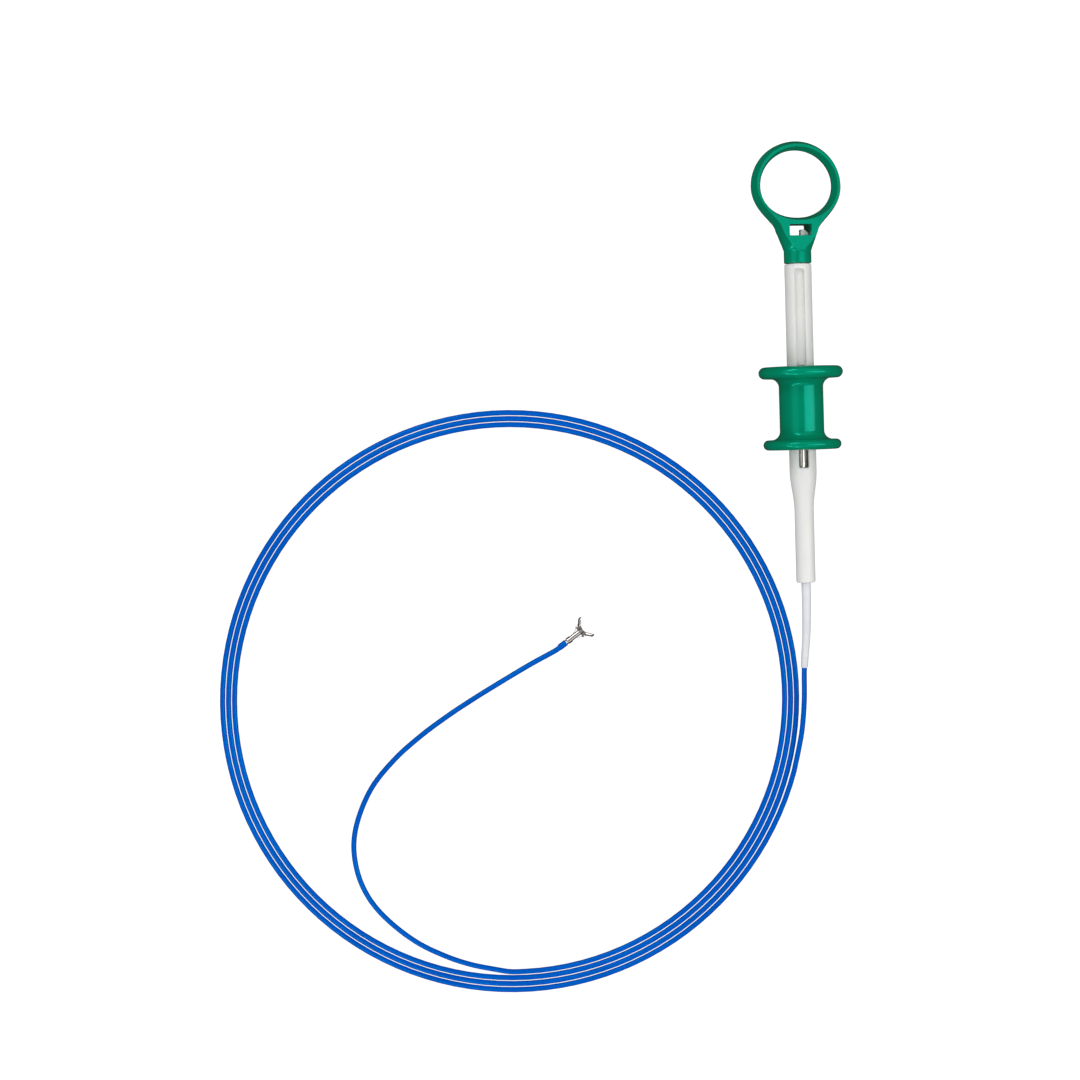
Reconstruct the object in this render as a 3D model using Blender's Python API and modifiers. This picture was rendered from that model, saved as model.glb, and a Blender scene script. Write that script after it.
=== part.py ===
"""Endoscopic biopsy forceps: thumb-ring handle, sliding spool, coiled sheath and cup jaws.

The handle lies along +Y on the rims of its spool, the sheath is coiled flat beside it, and
the sheath's tail curves inside the coil to a pair of open cup jaws. Lengths are in metres.
The handle and the tip are each modelled on their own axis (local +Z, with local -Y facing
up) and hang on an empty that places them.
"""
import math

import bmesh
import bpy
from mathutils import Matrix, Vector

MM = 0.001

# Where the two rigid groups lie
HANDLE_X = 39.8 * MM
HANDLE_TAIL_Y = -75.3 * MM
TIP_BASE = Vector((-54.95 * MM, -96.1 * MM))
TIP_HEADING = math.radians(35.85)

# Sheath, its flat coil and the strain relief
SHEATH_RADIUS = 1.05 * MM
SHEATH_SIDES_RESOLUTION = 2
COIL_CENTRE = Vector((-78.2 * MM, -118.7 * MM))
COIL_OUTER_TURN = 116.5 * MM
COIL_TURNS = 3.25
COIL_STEP = 2.4 * MM
RELIEF_ROOT_RADIUS = 1.925 * MM
RELIEF_MOUTH_RADIUS = 1.45 * MM
RELIEF_BORE = 1.1 * MM
MEETING_GAP = 0.3 * MM

# Handle shaft, measured from its tail end
TAIL_RADIUS = 3.7 * MM
TAIL_LENGTH = 28.5 * MM
SHAFT_RADIUS = 5.3 * MM
SHAFT_SHOULDER = 44.3 * MM
SHAFT_EDGE = 0.8 * MM
SLOT_START = 45.3 * MM
SLOT_END = 123.4 * MM
SLOT_HALF_WIDTH = 2.0 * MM
SLOT_CORNER = 0.9 * MM
SLOT_FLOOR = 3.0 * MM
CHANNEL_HALF_WIDTH = 1.9 * MM
CHANNEL_END = 85.6 * MM
BORE_START = 10.4 * MM
BORE_RADIUS = 2.1 * MM
SEAT_RADIUS = 2.25 * MM
RUNNING_GAP = 0.3 * MM

# Thumb ring: collar, neck with its window, and ring, each measured from the one below
COLLAR_START = SLOT_END + 2.2 * MM
COLLAR_LENGTH = 4.9 * MM
COLLAR_RADIUS = 5.4 * MM
COLLAR_EDGE = 0.5 * MM
COLLAR_DOME_RADIUS = 3.2 * MM
COLLAR_DOME_HEIGHT = 3.6 * MM
COLLAR_TOP = COLLAR_START + COLLAR_LENGTH
NECK_HALF_WIDTH = 8.2 * MM
NECK_WAIST = COLLAR_TOP + 7.1 * MM
WINDOW_START = COLLAR_TOP + 5.8 * MM
WINDOW_HEIGHT = 4.4 * MM
WINDOW_WIDTH = 9.0 * MM
WINDOW_CORNER = 0.4 * MM
BRIDGE = 2.6 * MM
RING_RADIUS = 18.1 * MM
RING_BAND = 4.0 * MM
RING_HALF_THICKNESS = 4.8 * MM
RING_SIDE_WALL = 0.5 * MM
RING_EDGE = 0.4375 * RING_BAND
RING_ROLL = math.radians(13.0)
HOLE_HALF_WIDTH = RING_RADIUS - RING_BAND
HOLE_FLOOR = WINDOW_START + WINDOW_HEIGHT + BRIDGE
RING_CENTRE = HOLE_FLOOR + 0.887 * HOLE_HALF_WIDTH
EJECTOR_MARK = (7.6 * MM, HOLE_FLOOR - 0.7 * MM)
EJECTOR_MARK_RADIUS = 0.75 * MM
EJECTOR_MARK_DEPTH = 0.3 * MM
SOCKET_RADIUS = 3.6 * MM
LATCH_HEIGHT = 2.5 * MM
LATCH_THICKNESS = 2.4 * MM
LATCH_HOOK_REACH = 0.7 * MM
LATCH_HOOK_HEIGHT = 0.9 * MM

# Spool
SPOOL_START = 52.5 * MM
SPOOL_LENGTH = 32.7 * MM
WAIST_RADIUS = 8.7 * MM
FRONT_RIM_RADIUS = 15.3 * MM
FRONT_RIM_WIDTH = 4.0 * MM
REAR_RIM_RADIUS = 16.55 * MM
REAR_RIM_WIDTH = 4.7 * MM
WAIST_FILLET = 3.4 * MM

# Operating tube, wire, key and clamp screw inside the spool
TUBE_RADIUS = 1.7 * MM
TUBE_BORE = 0.75 * MM
TUBE_START = 22.0 * MM
WIRE_RADIUS = 0.45 * MM
KEY_START = 64.0 * MM
KEY_LENGTH = 9.0 * MM
KEY_HALF_WIDTH = 1.65 * MM
KEY_HEIGHT = 7.5 * MM
KEY_END_WALL = 2.0 * MM
SCREW_RADIUS = 1.0 * MM
SCREW_SINK = 0.6 * MM
SCREW_SOCKET = 0.9 * MM
GLAND_START = 4.4 * MM

# Tip: clevis, measured from its base face
TIP_AXIS_HEIGHT = 1.3 * MM
CLEVIS_RADIUS = 1.3 * MM
CLEVIS_TOP = 7.67 * MM
EAR_HALF_WIDTH = 1.025 * MM
EAR_CORNER = 0.27 * MM
SHOULDER_LOW = 1.43 * MM
SHOULDER_HIGH = 1.98 * MM
EAR_GAP = 0.66 * MM
EAR_GAP_START = 1.9 * MM
EAR_FLAT = 1.05 * MM
MILL_RADIUS = 1.62 * MM
CLEVIS_EDGE = 0.12 * MM
CLEVIS_BORE = 0.7 * MM
LINK_RELIEF_START = 0.6 * MM
LINK_RELIEF_FOOT = 0.62 * MM
LINK_RELIEF_TOP = 0.98 * MM
LINK_RELIEF_WIDTH = 0.84 * MM
RELIEF_RUN_OUT = 0.1 * MM
SPRING_SEAT_DEPTH = 0.9 * MM
WELD_SPOTS = 5
WELD_SPOT_RADIUS = 0.17 * MM
WELD_SPOT_HEIGHT = 0.5 * MM

# Tip: pivot, jaws and links
PIVOT_HEIGHT = 6.86 * MM
PIN_RADIUS = 0.2 * MM
PIN_CLEARANCE = 0.03 * MM
JAW_OPEN = math.radians(52.0)
CUP_RADIUS = 1.25 * MM
CUP_WALL = 0.22 * MM
CUP_HEEL = 2.0 * MM
CUP_TIP = 5.55 * MM
CUP_SEAM = 0.015 * MM
CUP_SWEEP = math.radians(208.0)
PLATE_THICKNESS = 0.35 * MM
EYE_RADIUS = 0.72 * MM
FIN_CENTRE = (0.92 * MM, 2.35 * MM)
FIN_RADIUS = 0.62 * MM
LEVER_LENGTH = 2.35 * MM
LEVER_ANGLE = math.radians(159.5)
LEVER_END_RADIUS = 0.43 * MM
LEVER_HOLE = 0.19 * MM
LINK_RADIUS = 0.12 * MM
LINK_FOOT = 0.35 * MM
LINK_FOOT_LAYER = 0.13 * MM
LINK_FOOT_HEIGHT = 2.2 * MM
LINK_BEND = 0.2 * MM
LINK_CRANK_START = 1.3 * MM
LINK_CRANK_LENGTH = 1.8 * MM
LINK_CRANK_STEPS = 3

# Tip: pull block, spring and collar
BLOCK_RADIUS = 0.625 * MM
BLOCK_START = 0.9 * MM
BLOCK_LENGTH = 1.85 * MM
BLOCK_EDGE = 0.08 * MM
FORK_HALF_GAP = 0.28 * MM
FORK_DEPTH = 1.03 * MM
STUB_RADIUS = 0.2 * MM
STUB_LENGTH = 1.5 * MM
SPRING_RADIUS = 1.1 * MM
SPRING_WIRE = 0.42 * MM
SPRING_PITCH = 0.44 * MM
SPRING_TURNS = 7.5
SPRING_TOP = 0.55 * MM
JACKET_RADIUS = 1.28 * MM
JACKET_BORE = 1.13 * MM
JACKET_TOP = -0.8 * MM
JACKET_LENGTH = 3.3 * MM
JACKET_GRIP = 2.2 * MM
STRAIGHT_END = 6.0 * MM
FIT_GAP = 0.02 * MM

MERGE = 0.000001
CUT_MARGIN = 1.0 * MM

# Turns local Z to local -Y, which faces up in both groups
ACROSS = Matrix.Rotation(math.pi / 2, 4, "X")

# The lead leaves the handle along its axis and sinks towards the outer turn of the coil.
LEAD_ROUTE = (
    (39.8, -83.5, 12.4),
    (39.5, -96.0, 10.9),
    (38.6, -108.9, 8.3),
    (38.4, -122.3, 5.9),
    (37.4, -133.5, 4.5),
    (35.9, -141.4, 3.75),
)
LEAD_MOUTH_INDEX = 2

# The tail leaves the inner turn of the coil and curves round to the jaws.
TAIL_ROUTE = (
    (-107.8, -220.2, 1.05),
    (-118.7, -214.5, 1.05),
    (-129.1, -206.2, 1.05),
    (-136.7, -197.3, 1.05),
    (-141.3, -187.1, 1.05),
    (-142.8, -175.4, 1.05),
    (-140.6, -164.2, 1.05),
    (-134.7, -151.9, 1.05),
    (-125.5, -141.2, 1.05),
    (-115.1, -132.4, 1.05),
    (-104.1, -124.7, 1.05),
    (-93.3, -118.0, 1.05),
    (-81.5, -111.2, 1.1),
    (-69.8, -104.7, 1.3),
)


def clear_scene():
    for old in list(bpy.data.objects):
        bpy.data.objects.remove(old, do_unlink=True)


def new_collection(name):
    collection = bpy.data.collections.new(name)
    bpy.context.scene.collection.children.link(collection)
    return collection


clear_scene()
PARTS = new_collection("biopsy_forceps")
CUTTERS = new_collection("cutters")


# Materials

def new_material(name, colour, roughness, metallic):
    material = bpy.data.materials.new(name)
    material.use_nodes = True
    shader = material.node_tree.nodes["Principled BSDF"]
    shader.inputs["Base Color"].default_value = (*colour, 1.0)
    shader.inputs["Roughness"].default_value = roughness
    shader.inputs["Metallic"].default_value = metallic
    material.diffuse_color = (*colour, 1.0)
    return material


# General modelling helpers

def add_mesh_object(name, mesh, parent=None, material=None):
    piece = bpy.data.objects.new(name, mesh)
    PARTS.objects.link(piece)
    piece.parent = parent
    if material:
        piece.data.materials.append(material)
    return piece


def make_cutter(tool):
    for collection in list(tool.users_collection):
        collection.objects.unlink(tool)
    CUTTERS.objects.link(tool)
    tool.hide_render = True
    tool.display_type = "WIRE"
    return tool


def boolean(target, tool, operation):
    make_cutter(tool)
    modifier = target.modifiers.new(tool.name, "BOOLEAN")
    modifier.operation = operation
    modifier.solver = "MANIFOLD"
    modifier.object = tool
    return modifier


def turned(name, profile, steps, parent=None, material=None, sweep=2 * math.pi):
    """Revolve (radius, height) points, listed from the top down the outer side."""
    mesh = bpy.data.meshes.new(name)
    closed = profile[0] == profile[-1]
    start = math.pi - sweep / 2
    points = [(radius * math.cos(start), -radius * math.sin(start), height) for radius, height in profile]
    edges = [(index, index + 1) for index in range(len(points) - 1)]
    if closed:
        points.pop()
        edges[-1] = (len(points) - 1, 0)
    mesh.from_pydata(points, edges, [])
    piece = add_mesh_object(name, mesh, parent, material)
    screw = piece.modifiers.new("turn", "SCREW")
    screw.axis = "Z"
    screw.angle = sweep
    screw.steps = steps
    screw.render_steps = steps
    screw.use_merge_vertices = True
    screw.merge_threshold = MERGE
    screw.use_smooth_shade = True
    return piece


def turned_tube(name, outer, inner, low, high, steps, parent=None, material=None):
    profile = [(inner, high), (outer, high), (outer, low), (inner, low), (inner, high)]
    return turned(name, profile, steps, parent, material)


def arc(centre, radius, start, end, count):
    """Points on an arc, angles in degrees, as (radius, height) pairs."""
    points = []
    for index in range(count + 1):
        angle = math.radians(start + (end - start) * index / count)
        points.append((centre[0] + radius * math.cos(angle), centre[1] + radius * math.sin(angle)))
    return points


def cylinder(name, radius, low, high, sides, parent=None, matrix=None, material=None):
    shape = bmesh.new()
    middle = Matrix.Translation((0.0, 0.0, (low + high) / 2))
    bmesh.ops.create_cone(shape, cap_ends=True, segments=sides, radius1=radius, radius2=radius,
                          depth=high - low, matrix=(matrix or Matrix()) @ middle)
    mesh = bpy.data.meshes.new(name)
    shape.to_mesh(mesh)
    shape.free()
    return add_mesh_object(name, mesh, parent, material)


def box(name, low, high, parent=None, material=None):
    """A box between two corners, modelled from a cube."""
    low = Vector(low)
    high = Vector(high)
    size = high - low
    shape = bmesh.new()
    place = Matrix.Translation((low + high) / 2) @ Matrix.Diagonal((*size, 1.0))
    bmesh.ops.create_cube(shape, size=1.0, matrix=place)
    mesh = bpy.data.meshes.new(name)
    shape.to_mesh(mesh)
    shape.free()
    return add_mesh_object(name, mesh, parent, material)


def mesh_from_curve(curve_object, name):
    """Turn a curve object into a welded mesh object and remove the curve."""
    bpy.context.view_layer.update()
    graph = bpy.context.evaluated_depsgraph_get()
    mesh = bpy.data.meshes.new_from_object(curve_object.evaluated_get(graph))
    shape = bmesh.new()
    shape.from_mesh(mesh)
    bmesh.ops.remove_doubles(shape, verts=shape.verts, dist=MERGE)
    bmesh.ops.recalc_face_normals(shape, faces=shape.faces)
    shape.to_mesh(mesh)
    shape.free()
    mesh.name = name
    piece = bpy.data.objects.new(name, mesh)
    PARTS.objects.link(piece)
    piece.parent = curve_object.parent
    piece.matrix_world = curve_object.matrix_world.copy()
    bpy.data.objects.remove(curve_object, do_unlink=True)
    return piece


def stand_outline(piece, middle):
    """Stand a flat outline up: its Y becomes Z, and its thickness lies around Y = middle."""
    piece.data.transform(Matrix.Translation((0.0, middle, 0.0)) @ ACROSS)
    return piece


def flat_outline(name, outline, thickness, parent=None, middle=0.0):
    """A plate cut to one closed outline of (x, z) points."""
    curve = bpy.data.curves.new(name, "CURVE")
    curve.dimensions = "2D"
    curve.fill_mode = "BOTH"
    curve.extrude = thickness / 2
    spline = curve.splines.new("POLY")
    spline.points.add(len(outline) - 1)
    for point, (across, along) in zip(spline.points, outline):
        point.co = (across, along, 0.0, 1.0)
    spline.use_cyclic_u = True
    flat = bpy.data.objects.new(name, curve)
    PARTS.objects.link(flat)
    plate = mesh_from_curve(flat, name)
    plate.parent = parent
    plate.matrix_world = Matrix()
    plate.matrix_parent_inverse = Matrix()
    plate.matrix_basis = Matrix()
    return stand_outline(plate, middle)


def smooth_route(points, spacing):
    """Points along a Catmull-Rom curve through the route's own points."""
    ends = [points[0] * 2 - points[1]] + list(points) + [points[-1] * 2 - points[-2]]
    route = []
    for index in range(1, len(ends) - 2):
        before, start, end, after = ends[index - 1:index + 3]
        count = max(1, round((end - start).length / spacing))
        for step in range(count):
            t = step / count
            route.append(0.5 * (2 * start + (end - before) * t
                                + (2 * before - 5 * start + 4 * end - after) * t ** 2
                                + (3 * start - before - 3 * end + after) * t ** 3))
    route.append(points[-1])
    return route


def rod(name, points, radius, resolution, parent=None, material=None, tapers=None):
    """A round rod along a poly line, with filled ends."""
    curve = bpy.data.curves.new(name, "CURVE")
    curve.dimensions = "3D"
    curve.bevel_depth = radius
    curve.bevel_resolution = resolution
    curve.use_fill_caps = True
    spline = curve.splines.new("POLY")
    spline.points.add(len(points) - 1)
    for index, (point, place) in enumerate(zip(spline.points, points)):
        point.co = (*place, 1.0)
        if tapers:
            point.radius = tapers[index]
    piece = bpy.data.objects.new(name, curve)
    PARTS.objects.link(piece)
    piece.parent = parent
    if material:
        curve.materials.append(material)
    return piece


# Placing the two groups

RIM_RISE = REAR_RIM_RADIUS - FRONT_RIM_RADIUS
RIM_SPAN = SPOOL_LENGTH - FRONT_RIM_WIDTH / 2 - REAR_RIM_WIDTH / 2
HANDLE_TILT = math.asin(RIM_RISE / RIM_SPAN)


def tail_height():
    """Height of the handle's tail end when both rims of the spool touch the table."""
    edge = FRONT_RIM_WIDTH / 2
    along = SPOOL_START + edge
    drop = (FRONT_RIM_RADIUS - edge) * math.cos(HANDLE_TILT) + edge
    return drop - along * math.sin(HANDLE_TILT)


def place_handle():
    frame = bpy.data.objects.new("handle_frame", None)
    PARTS.objects.link(frame)
    frame.location = (HANDLE_X, HANDLE_TAIL_Y, tail_height())
    frame.rotation_euler = (HANDLE_TILT - math.pi / 2, 0.0, 0.0)
    return frame


def place_tip():
    frame = bpy.data.objects.new("tip_frame", None)
    PARTS.objects.link(frame)
    frame.location = (TIP_BASE.x, TIP_BASE.y, TIP_AXIS_HEIGHT)
    frame.rotation_euler = (-math.pi / 2, 0.0, TIP_HEADING - math.pi / 2)
    return frame


def handle_point(along):
    """World place of a point on the handle's axis."""
    rise = Vector((0.0, math.cos(HANDLE_TILT), math.sin(HANDLE_TILT)))
    return Vector((HANDLE_X, HANDLE_TAIL_Y, tail_height())) + rise * along


def tip_point(along):
    """World place of a point on the tip's axis."""
    heading = Vector((math.cos(TIP_HEADING), math.sin(TIP_HEADING), 0.0))
    return Vector((TIP_BASE.x, TIP_BASE.y, TIP_AXIS_HEIGHT)) + heading * along


# Handle

def shaft_profile():
    spigot = SOCKET_RADIUS - RUNNING_GAP
    shoulder = COLLAR_START - RUNNING_GAP
    top = WINDOW_START - RUNNING_GAP
    profile = [(0.0, top), (spigot, top), (spigot, shoulder)]
    profile += [(SHAFT_RADIUS - SHAFT_EDGE / 3, shoulder), (SHAFT_RADIUS, shoulder - SHAFT_EDGE / 3)]
    rise = SHAFT_RADIUS - TAIL_RADIUS
    for index in range(7):
        part = index / 6
        blend = 0.5 + 0.5 * math.cos(math.pi * part)
        profile.append((TAIL_RADIUS + rise * blend,
                        SHAFT_SHOULDER + (TAIL_LENGTH - SHAFT_SHOULDER) * part))
    profile += arc((TAIL_RADIUS - SHAFT_EDGE, SHAFT_EDGE), SHAFT_EDGE, 0, -90, 4)
    profile.append((0.0, 0.0))
    return profile


def rounded_rectangle(left, right, low, high, corner, count=4):
    points = []
    corners = ((right - corner, high - corner, 90), (right - corner, low + corner, 0),
               (left + corner, low + corner, -90), (left + corner, high - corner, -180))
    for across, along, start in corners:
        points += arc((across, along), corner, start, start - 90, count)
    return points


def build_latch(frame):
    """The hooked finger on the end of the shaft, off to one side of the ring's window."""
    spigot = SOCKET_RADIUS - RUNNING_GAP
    inner = 0.35 * spigot
    shoulder = 0.8 * spigot
    outer = 0.93 * spigot
    hook = SOCKET_RADIUS + LATCH_HOOK_REACH
    root = WINDOW_START - 2 * LATCH_HEIGHT
    top = WINDOW_START + LATCH_HEIGHT
    ledge = WINDOW_START + RUNNING_GAP
    outline = [(inner, root), (inner, top), (shoulder, top), (hook, ledge + LATCH_HOOK_HEIGHT),
               (hook, ledge), (outer, ledge), (outer, root)]
    latch = flat_outline("latch", outline, LATCH_THICKNESS, frame)
    latch.rotation_euler = (0.0, 0.0, RING_ROLL)
    return latch


def build_handle_shaft(frame, material):
    """The barrel: a long shallow slot, and a deep channel in it as far as the key travels."""
    shaft = turned("handle_shaft", shaft_profile(), 40, frame, material)
    boolean(shaft, build_latch(frame), "UNION")
    bore = cylinder("shaft_bore", BORE_RADIUS, BORE_START - RUNNING_GAP / 2, CHANNEL_END, 24, frame)
    boolean(shaft, bore, "DIFFERENCE")
    seat = cylinder("gland_seat", SEAT_RADIUS, -CUT_MARGIN, BORE_START, 24, frame)
    boolean(shaft, seat, "DIFFERENCE")
    high = SHAFT_RADIUS + CUT_MARGIN
    outline = rounded_rectangle(-SLOT_HALF_WIDTH, SLOT_HALF_WIDTH, SLOT_START, SLOT_END, SLOT_CORNER)
    slot = flat_outline("slot_cut", outline, high - SLOT_FLOOR, frame, -(high + SLOT_FLOOR) / 2)
    boolean(shaft, slot, "DIFFERENCE")
    low = SLOT_START + SLOT_HALF_WIDTH - CHANNEL_HALF_WIDTH
    outline = rounded_rectangle(-CHANNEL_HALF_WIDTH, CHANNEL_HALF_WIDTH, low, CHANNEL_END + FIT_GAP,
                                SLOT_CORNER)
    channel = flat_outline("channel_cut", outline, high, frame, -high / 2)
    boolean(shaft, channel, "DIFFERENCE")
    return shaft


def bezier_loop(curve, knots):
    """A closed Bezier loop from (point, handle before, handle after) knots."""
    spline = curve.splines.new("BEZIER")
    spline.bezier_points.add(len(knots) - 1)
    spline.use_cyclic_u = True
    spline.resolution_u = 7
    for point, (place, before, after) in zip(spline.bezier_points, knots):
        point.handle_left_type = "FREE"
        point.handle_right_type = "FREE"
        point.co = (*place, 0.0)
        point.handle_left = (place[0] + before[0], place[1] + before[1], 0.0)
        point.handle_right = (place[0] + after[0], place[1] + after[1], 0.0)


def mirrored_knots(centre_top, right_knots, centre_bottom):
    """Knots of a loop that is symmetric about x = 0, run clockwise from the top."""
    knots = [centre_top] + right_knots + [centre_bottom]
    for place, before, after in reversed(right_knots):
        knots.append(((-place[0], place[1]), (-after[0], after[1]), (-before[0], before[1])))
    return knots


def ring_knots():
    """Outside of the ring, drawn in to the neck and down into the collar."""
    low = COLLAR_TOP - COLLAR_EDGE - COLLAR_RADIUS / 5
    foot_width = COLLAR_RADIUS - RUNNING_GAP
    round_arm = 0.552 * RING_RADIUS
    top = ((0.0, RING_CENTRE + RING_RADIUS), (-round_arm, 0.0), (round_arm, 0.0))
    side = ((RING_RADIUS, RING_CENTRE), (0.0, round_arm), (0.0, -0.53 * RING_RADIUS))
    neck = ((NECK_HALF_WIDTH, NECK_WAIST), (0.7 * MM, 4.4 * MM), (-0.5 * MM, -2.9 * MM))
    foot = ((foot_width, low + COLLAR_RADIUS / 3), (0.7 * MM, 1.5 * MM), (-0.5 * MM, -1.1 * MM))
    bottom = ((0.0, low), (foot_width / 2, 0.0), (-foot_width / 2, 0.0))
    return mirrored_knots(top, [side, neck, foot], bottom)


def hole_knots():
    """The thumb's hole: round above, flatter below."""
    wide = HOLE_HALF_WIDTH
    top = ((0.0, RING_CENTRE + wide), (-0.553 * wide, 0.0), (0.553 * wide, 0.0))
    side = ((wide, RING_CENTRE + 0.028 * wide), (0.0, 0.539 * wide), (0.0, -0.525 * wide))
    bottom = ((0.0, HOLE_FLOOR), (0.61 * wide, 0.0), (-0.61 * wide, 0.0))
    return mirrored_knots(top, [side], bottom)


def build_ring_blank(frame):
    """The ring and neck: one outline with its hole, both faces bevelled to a soft crest."""
    stretch = RING_HALF_THICKNESS / (RING_EDGE + RING_SIDE_WALL)
    curve = bpy.data.curves.new("ring_blank", "CURVE")
    curve.dimensions = "2D"
    curve.fill_mode = "BOTH"
    curve.extrude = RING_SIDE_WALL
    curve.bevel_depth = RING_EDGE
    curve.bevel_resolution = 3
    curve.offset = -RING_EDGE
    bezier_loop(curve, ring_knots())
    bezier_loop(curve, hole_knots())
    flat = bpy.data.objects.new("ring_blank", curve)
    PARTS.objects.link(flat)
    blank = mesh_from_curve(flat, "thumb_ring")
    blank.data.transform(Matrix.Diagonal((1.0, 1.0, stretch, 1.0)))
    blank.parent = frame
    blank.matrix_basis = Matrix()
    return stand_outline(blank, 0.0)


def build_thumb_ring(frame, material):
    ring = build_ring_blank(frame)
    ring.rotation_euler = (0.0, 0.0, RING_ROLL)
    ring.data.materials.append(material)
    dome_top = COLLAR_TOP + COLLAR_DOME_HEIGHT
    profile = [(0.0, dome_top), (COLLAR_DOME_RADIUS, dome_top), (COLLAR_RADIUS, COLLAR_TOP)]
    profile += arc((COLLAR_RADIUS - COLLAR_EDGE, COLLAR_START + COLLAR_EDGE), COLLAR_EDGE, 0, -90, 3)
    profile.append((0.0, COLLAR_START))
    boolean(ring, turned("collar", profile, 40, frame), "UNION")
    socket = cylinder("socket", SOCKET_RADIUS, COLLAR_START - CUT_MARGIN,
                      WINDOW_START + CUT_MARGIN / 2, 32, frame)
    boolean(ring, socket, "DIFFERENCE")
    outline = rounded_rectangle(-WINDOW_WIDTH / 2, WINDOW_WIDTH / 2, WINDOW_START,
                                WINDOW_START + WINDOW_HEIGHT, WINDOW_CORNER, 2)
    window = flat_outline("window", outline, 4 * RING_HALF_THICKNESS, frame)
    window.rotation_euler = (0.0, 0.0, RING_ROLL)
    boolean(ring, window, "DIFFERENCE")
    mark_place = Matrix.Translation((EJECTOR_MARK[0], 0.0, EJECTOR_MARK[1])) @ ACROSS
    mark = cylinder("ejector_mark", EJECTOR_MARK_RADIUS, RING_HALF_THICKNESS - EJECTOR_MARK_DEPTH,
                    RING_HALF_THICKNESS + CUT_MARGIN, 14, frame, mark_place)
    mark.rotation_euler = (0.0, 0.0, RING_ROLL)
    boolean(ring, mark, "DIFFERENCE")
    return ring


def spool_profile():
    end = SPOOL_START + SPOOL_LENGTH
    rear = REAR_RIM_WIDTH / 2
    front = FRONT_RIM_WIDTH / 2
    bore = SHAFT_RADIUS + RUNNING_GAP
    rear_fillet = (WAIST_RADIUS + WAIST_FILLET, end - REAR_RIM_WIDTH - WAIST_FILLET)
    front_fillet = (WAIST_RADIUS + WAIST_FILLET, SPOOL_START + FRONT_RIM_WIDTH + WAIST_FILLET)
    profile = [(bore, end)]
    profile += arc((REAR_RIM_RADIUS - rear, end - rear), rear, 90, -90, 8)
    profile += arc(rear_fillet, WAIST_FILLET, 90, 180, 5)
    profile += arc(front_fillet, WAIST_FILLET, 180, 270, 5)
    profile += arc((FRONT_RIM_RADIUS - front, SPOOL_START + front), front, 90, -90, 8)
    profile.append((bore, SPOOL_START))
    profile.append((bore, end))
    return profile


def build_spool(frame, material):
    spool = turned("spool", spool_profile(), 40, frame, material)
    gap = RUNNING_GAP
    pocket = box("key_pocket", (-KEY_HALF_WIDTH - gap, -KEY_HEIGHT - gap, KEY_START - gap),
                 (KEY_HALF_WIDTH + gap, -WAIST_RADIUS / 2, KEY_START + KEY_LENGTH + gap), frame)
    boolean(spool, pocket, "DIFFERENCE")
    return spool


def build_slider_key(frame, material):
    """The key that joins spool and tube through the slot, drilled for the wire and screw."""
    end = KEY_START + KEY_LENGTH
    key = cylinder("slider_key", TUBE_RADIUS, KEY_START, end, 24, frame, None, material)
    web = box("key_web", (-KEY_HALF_WIDTH, -KEY_HEIGHT, KEY_START), (KEY_HALF_WIDTH, 0.0, end), frame)
    boolean(key, web, "UNION")
    drill = cylinder("wire_hole", TUBE_BORE, KEY_START - CUT_MARGIN, end - KEY_END_WALL, 16, frame)
    boolean(key, drill, "DIFFERENCE")
    turn = Matrix.Translation((0.0, 0.0, KEY_START + KEY_LENGTH / 2)) @ ACROSS
    hole = cylinder("screw_hole", SCREW_RADIUS + FIT_GAP, 0.0, KEY_HEIGHT + CUT_MARGIN, 16, frame, turn)
    boolean(key, hole, "DIFFERENCE")
    return key


def build_clamp_screw(frame, material):
    turn = Matrix.Translation((0.0, 0.0, KEY_START + KEY_LENGTH / 2)) @ ACROSS
    low = WIRE_RADIUS + FIT_GAP
    high = KEY_HEIGHT - SCREW_SINK
    screw = cylinder("clamp_screw", SCREW_RADIUS, low, high, 16, frame, turn, material)
    driver = cylinder("hex_socket", SCREW_RADIUS / 2, high - SCREW_SOCKET, high + CUT_MARGIN, 6, frame, turn)
    boolean(screw, driver, "DIFFERENCE")
    return screw


def build_operating_tube(frame, material):
    end = KEY_START - RUNNING_GAP
    return turned_tube("operating_tube", TUBE_RADIUS, TUBE_BORE, TUBE_START, end, 24, frame, material)


def build_pull_wire(frame, material):
    end = KEY_START + KEY_LENGTH - KEY_END_WALL - RUNNING_GAP
    return cylinder("pull_wire", WIRE_RADIUS, GLAND_START, end, 12, frame, None, material)


def build_sheath_gland(frame, material):
    end = BORE_START - RUNNING_GAP
    return turned_tube("sheath_gland", SEAT_RADIUS - RUNNING_GAP, TUBE_BORE, GLAND_START, end, 24,
                       frame, material)


# Sheath and strain relief

def lead_points():
    root = [handle_point(GLAND_START - RUNNING_GAP), handle_point(0.0)]
    return root + [Vector(place) * MM for place in LEAD_ROUTE]


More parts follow.
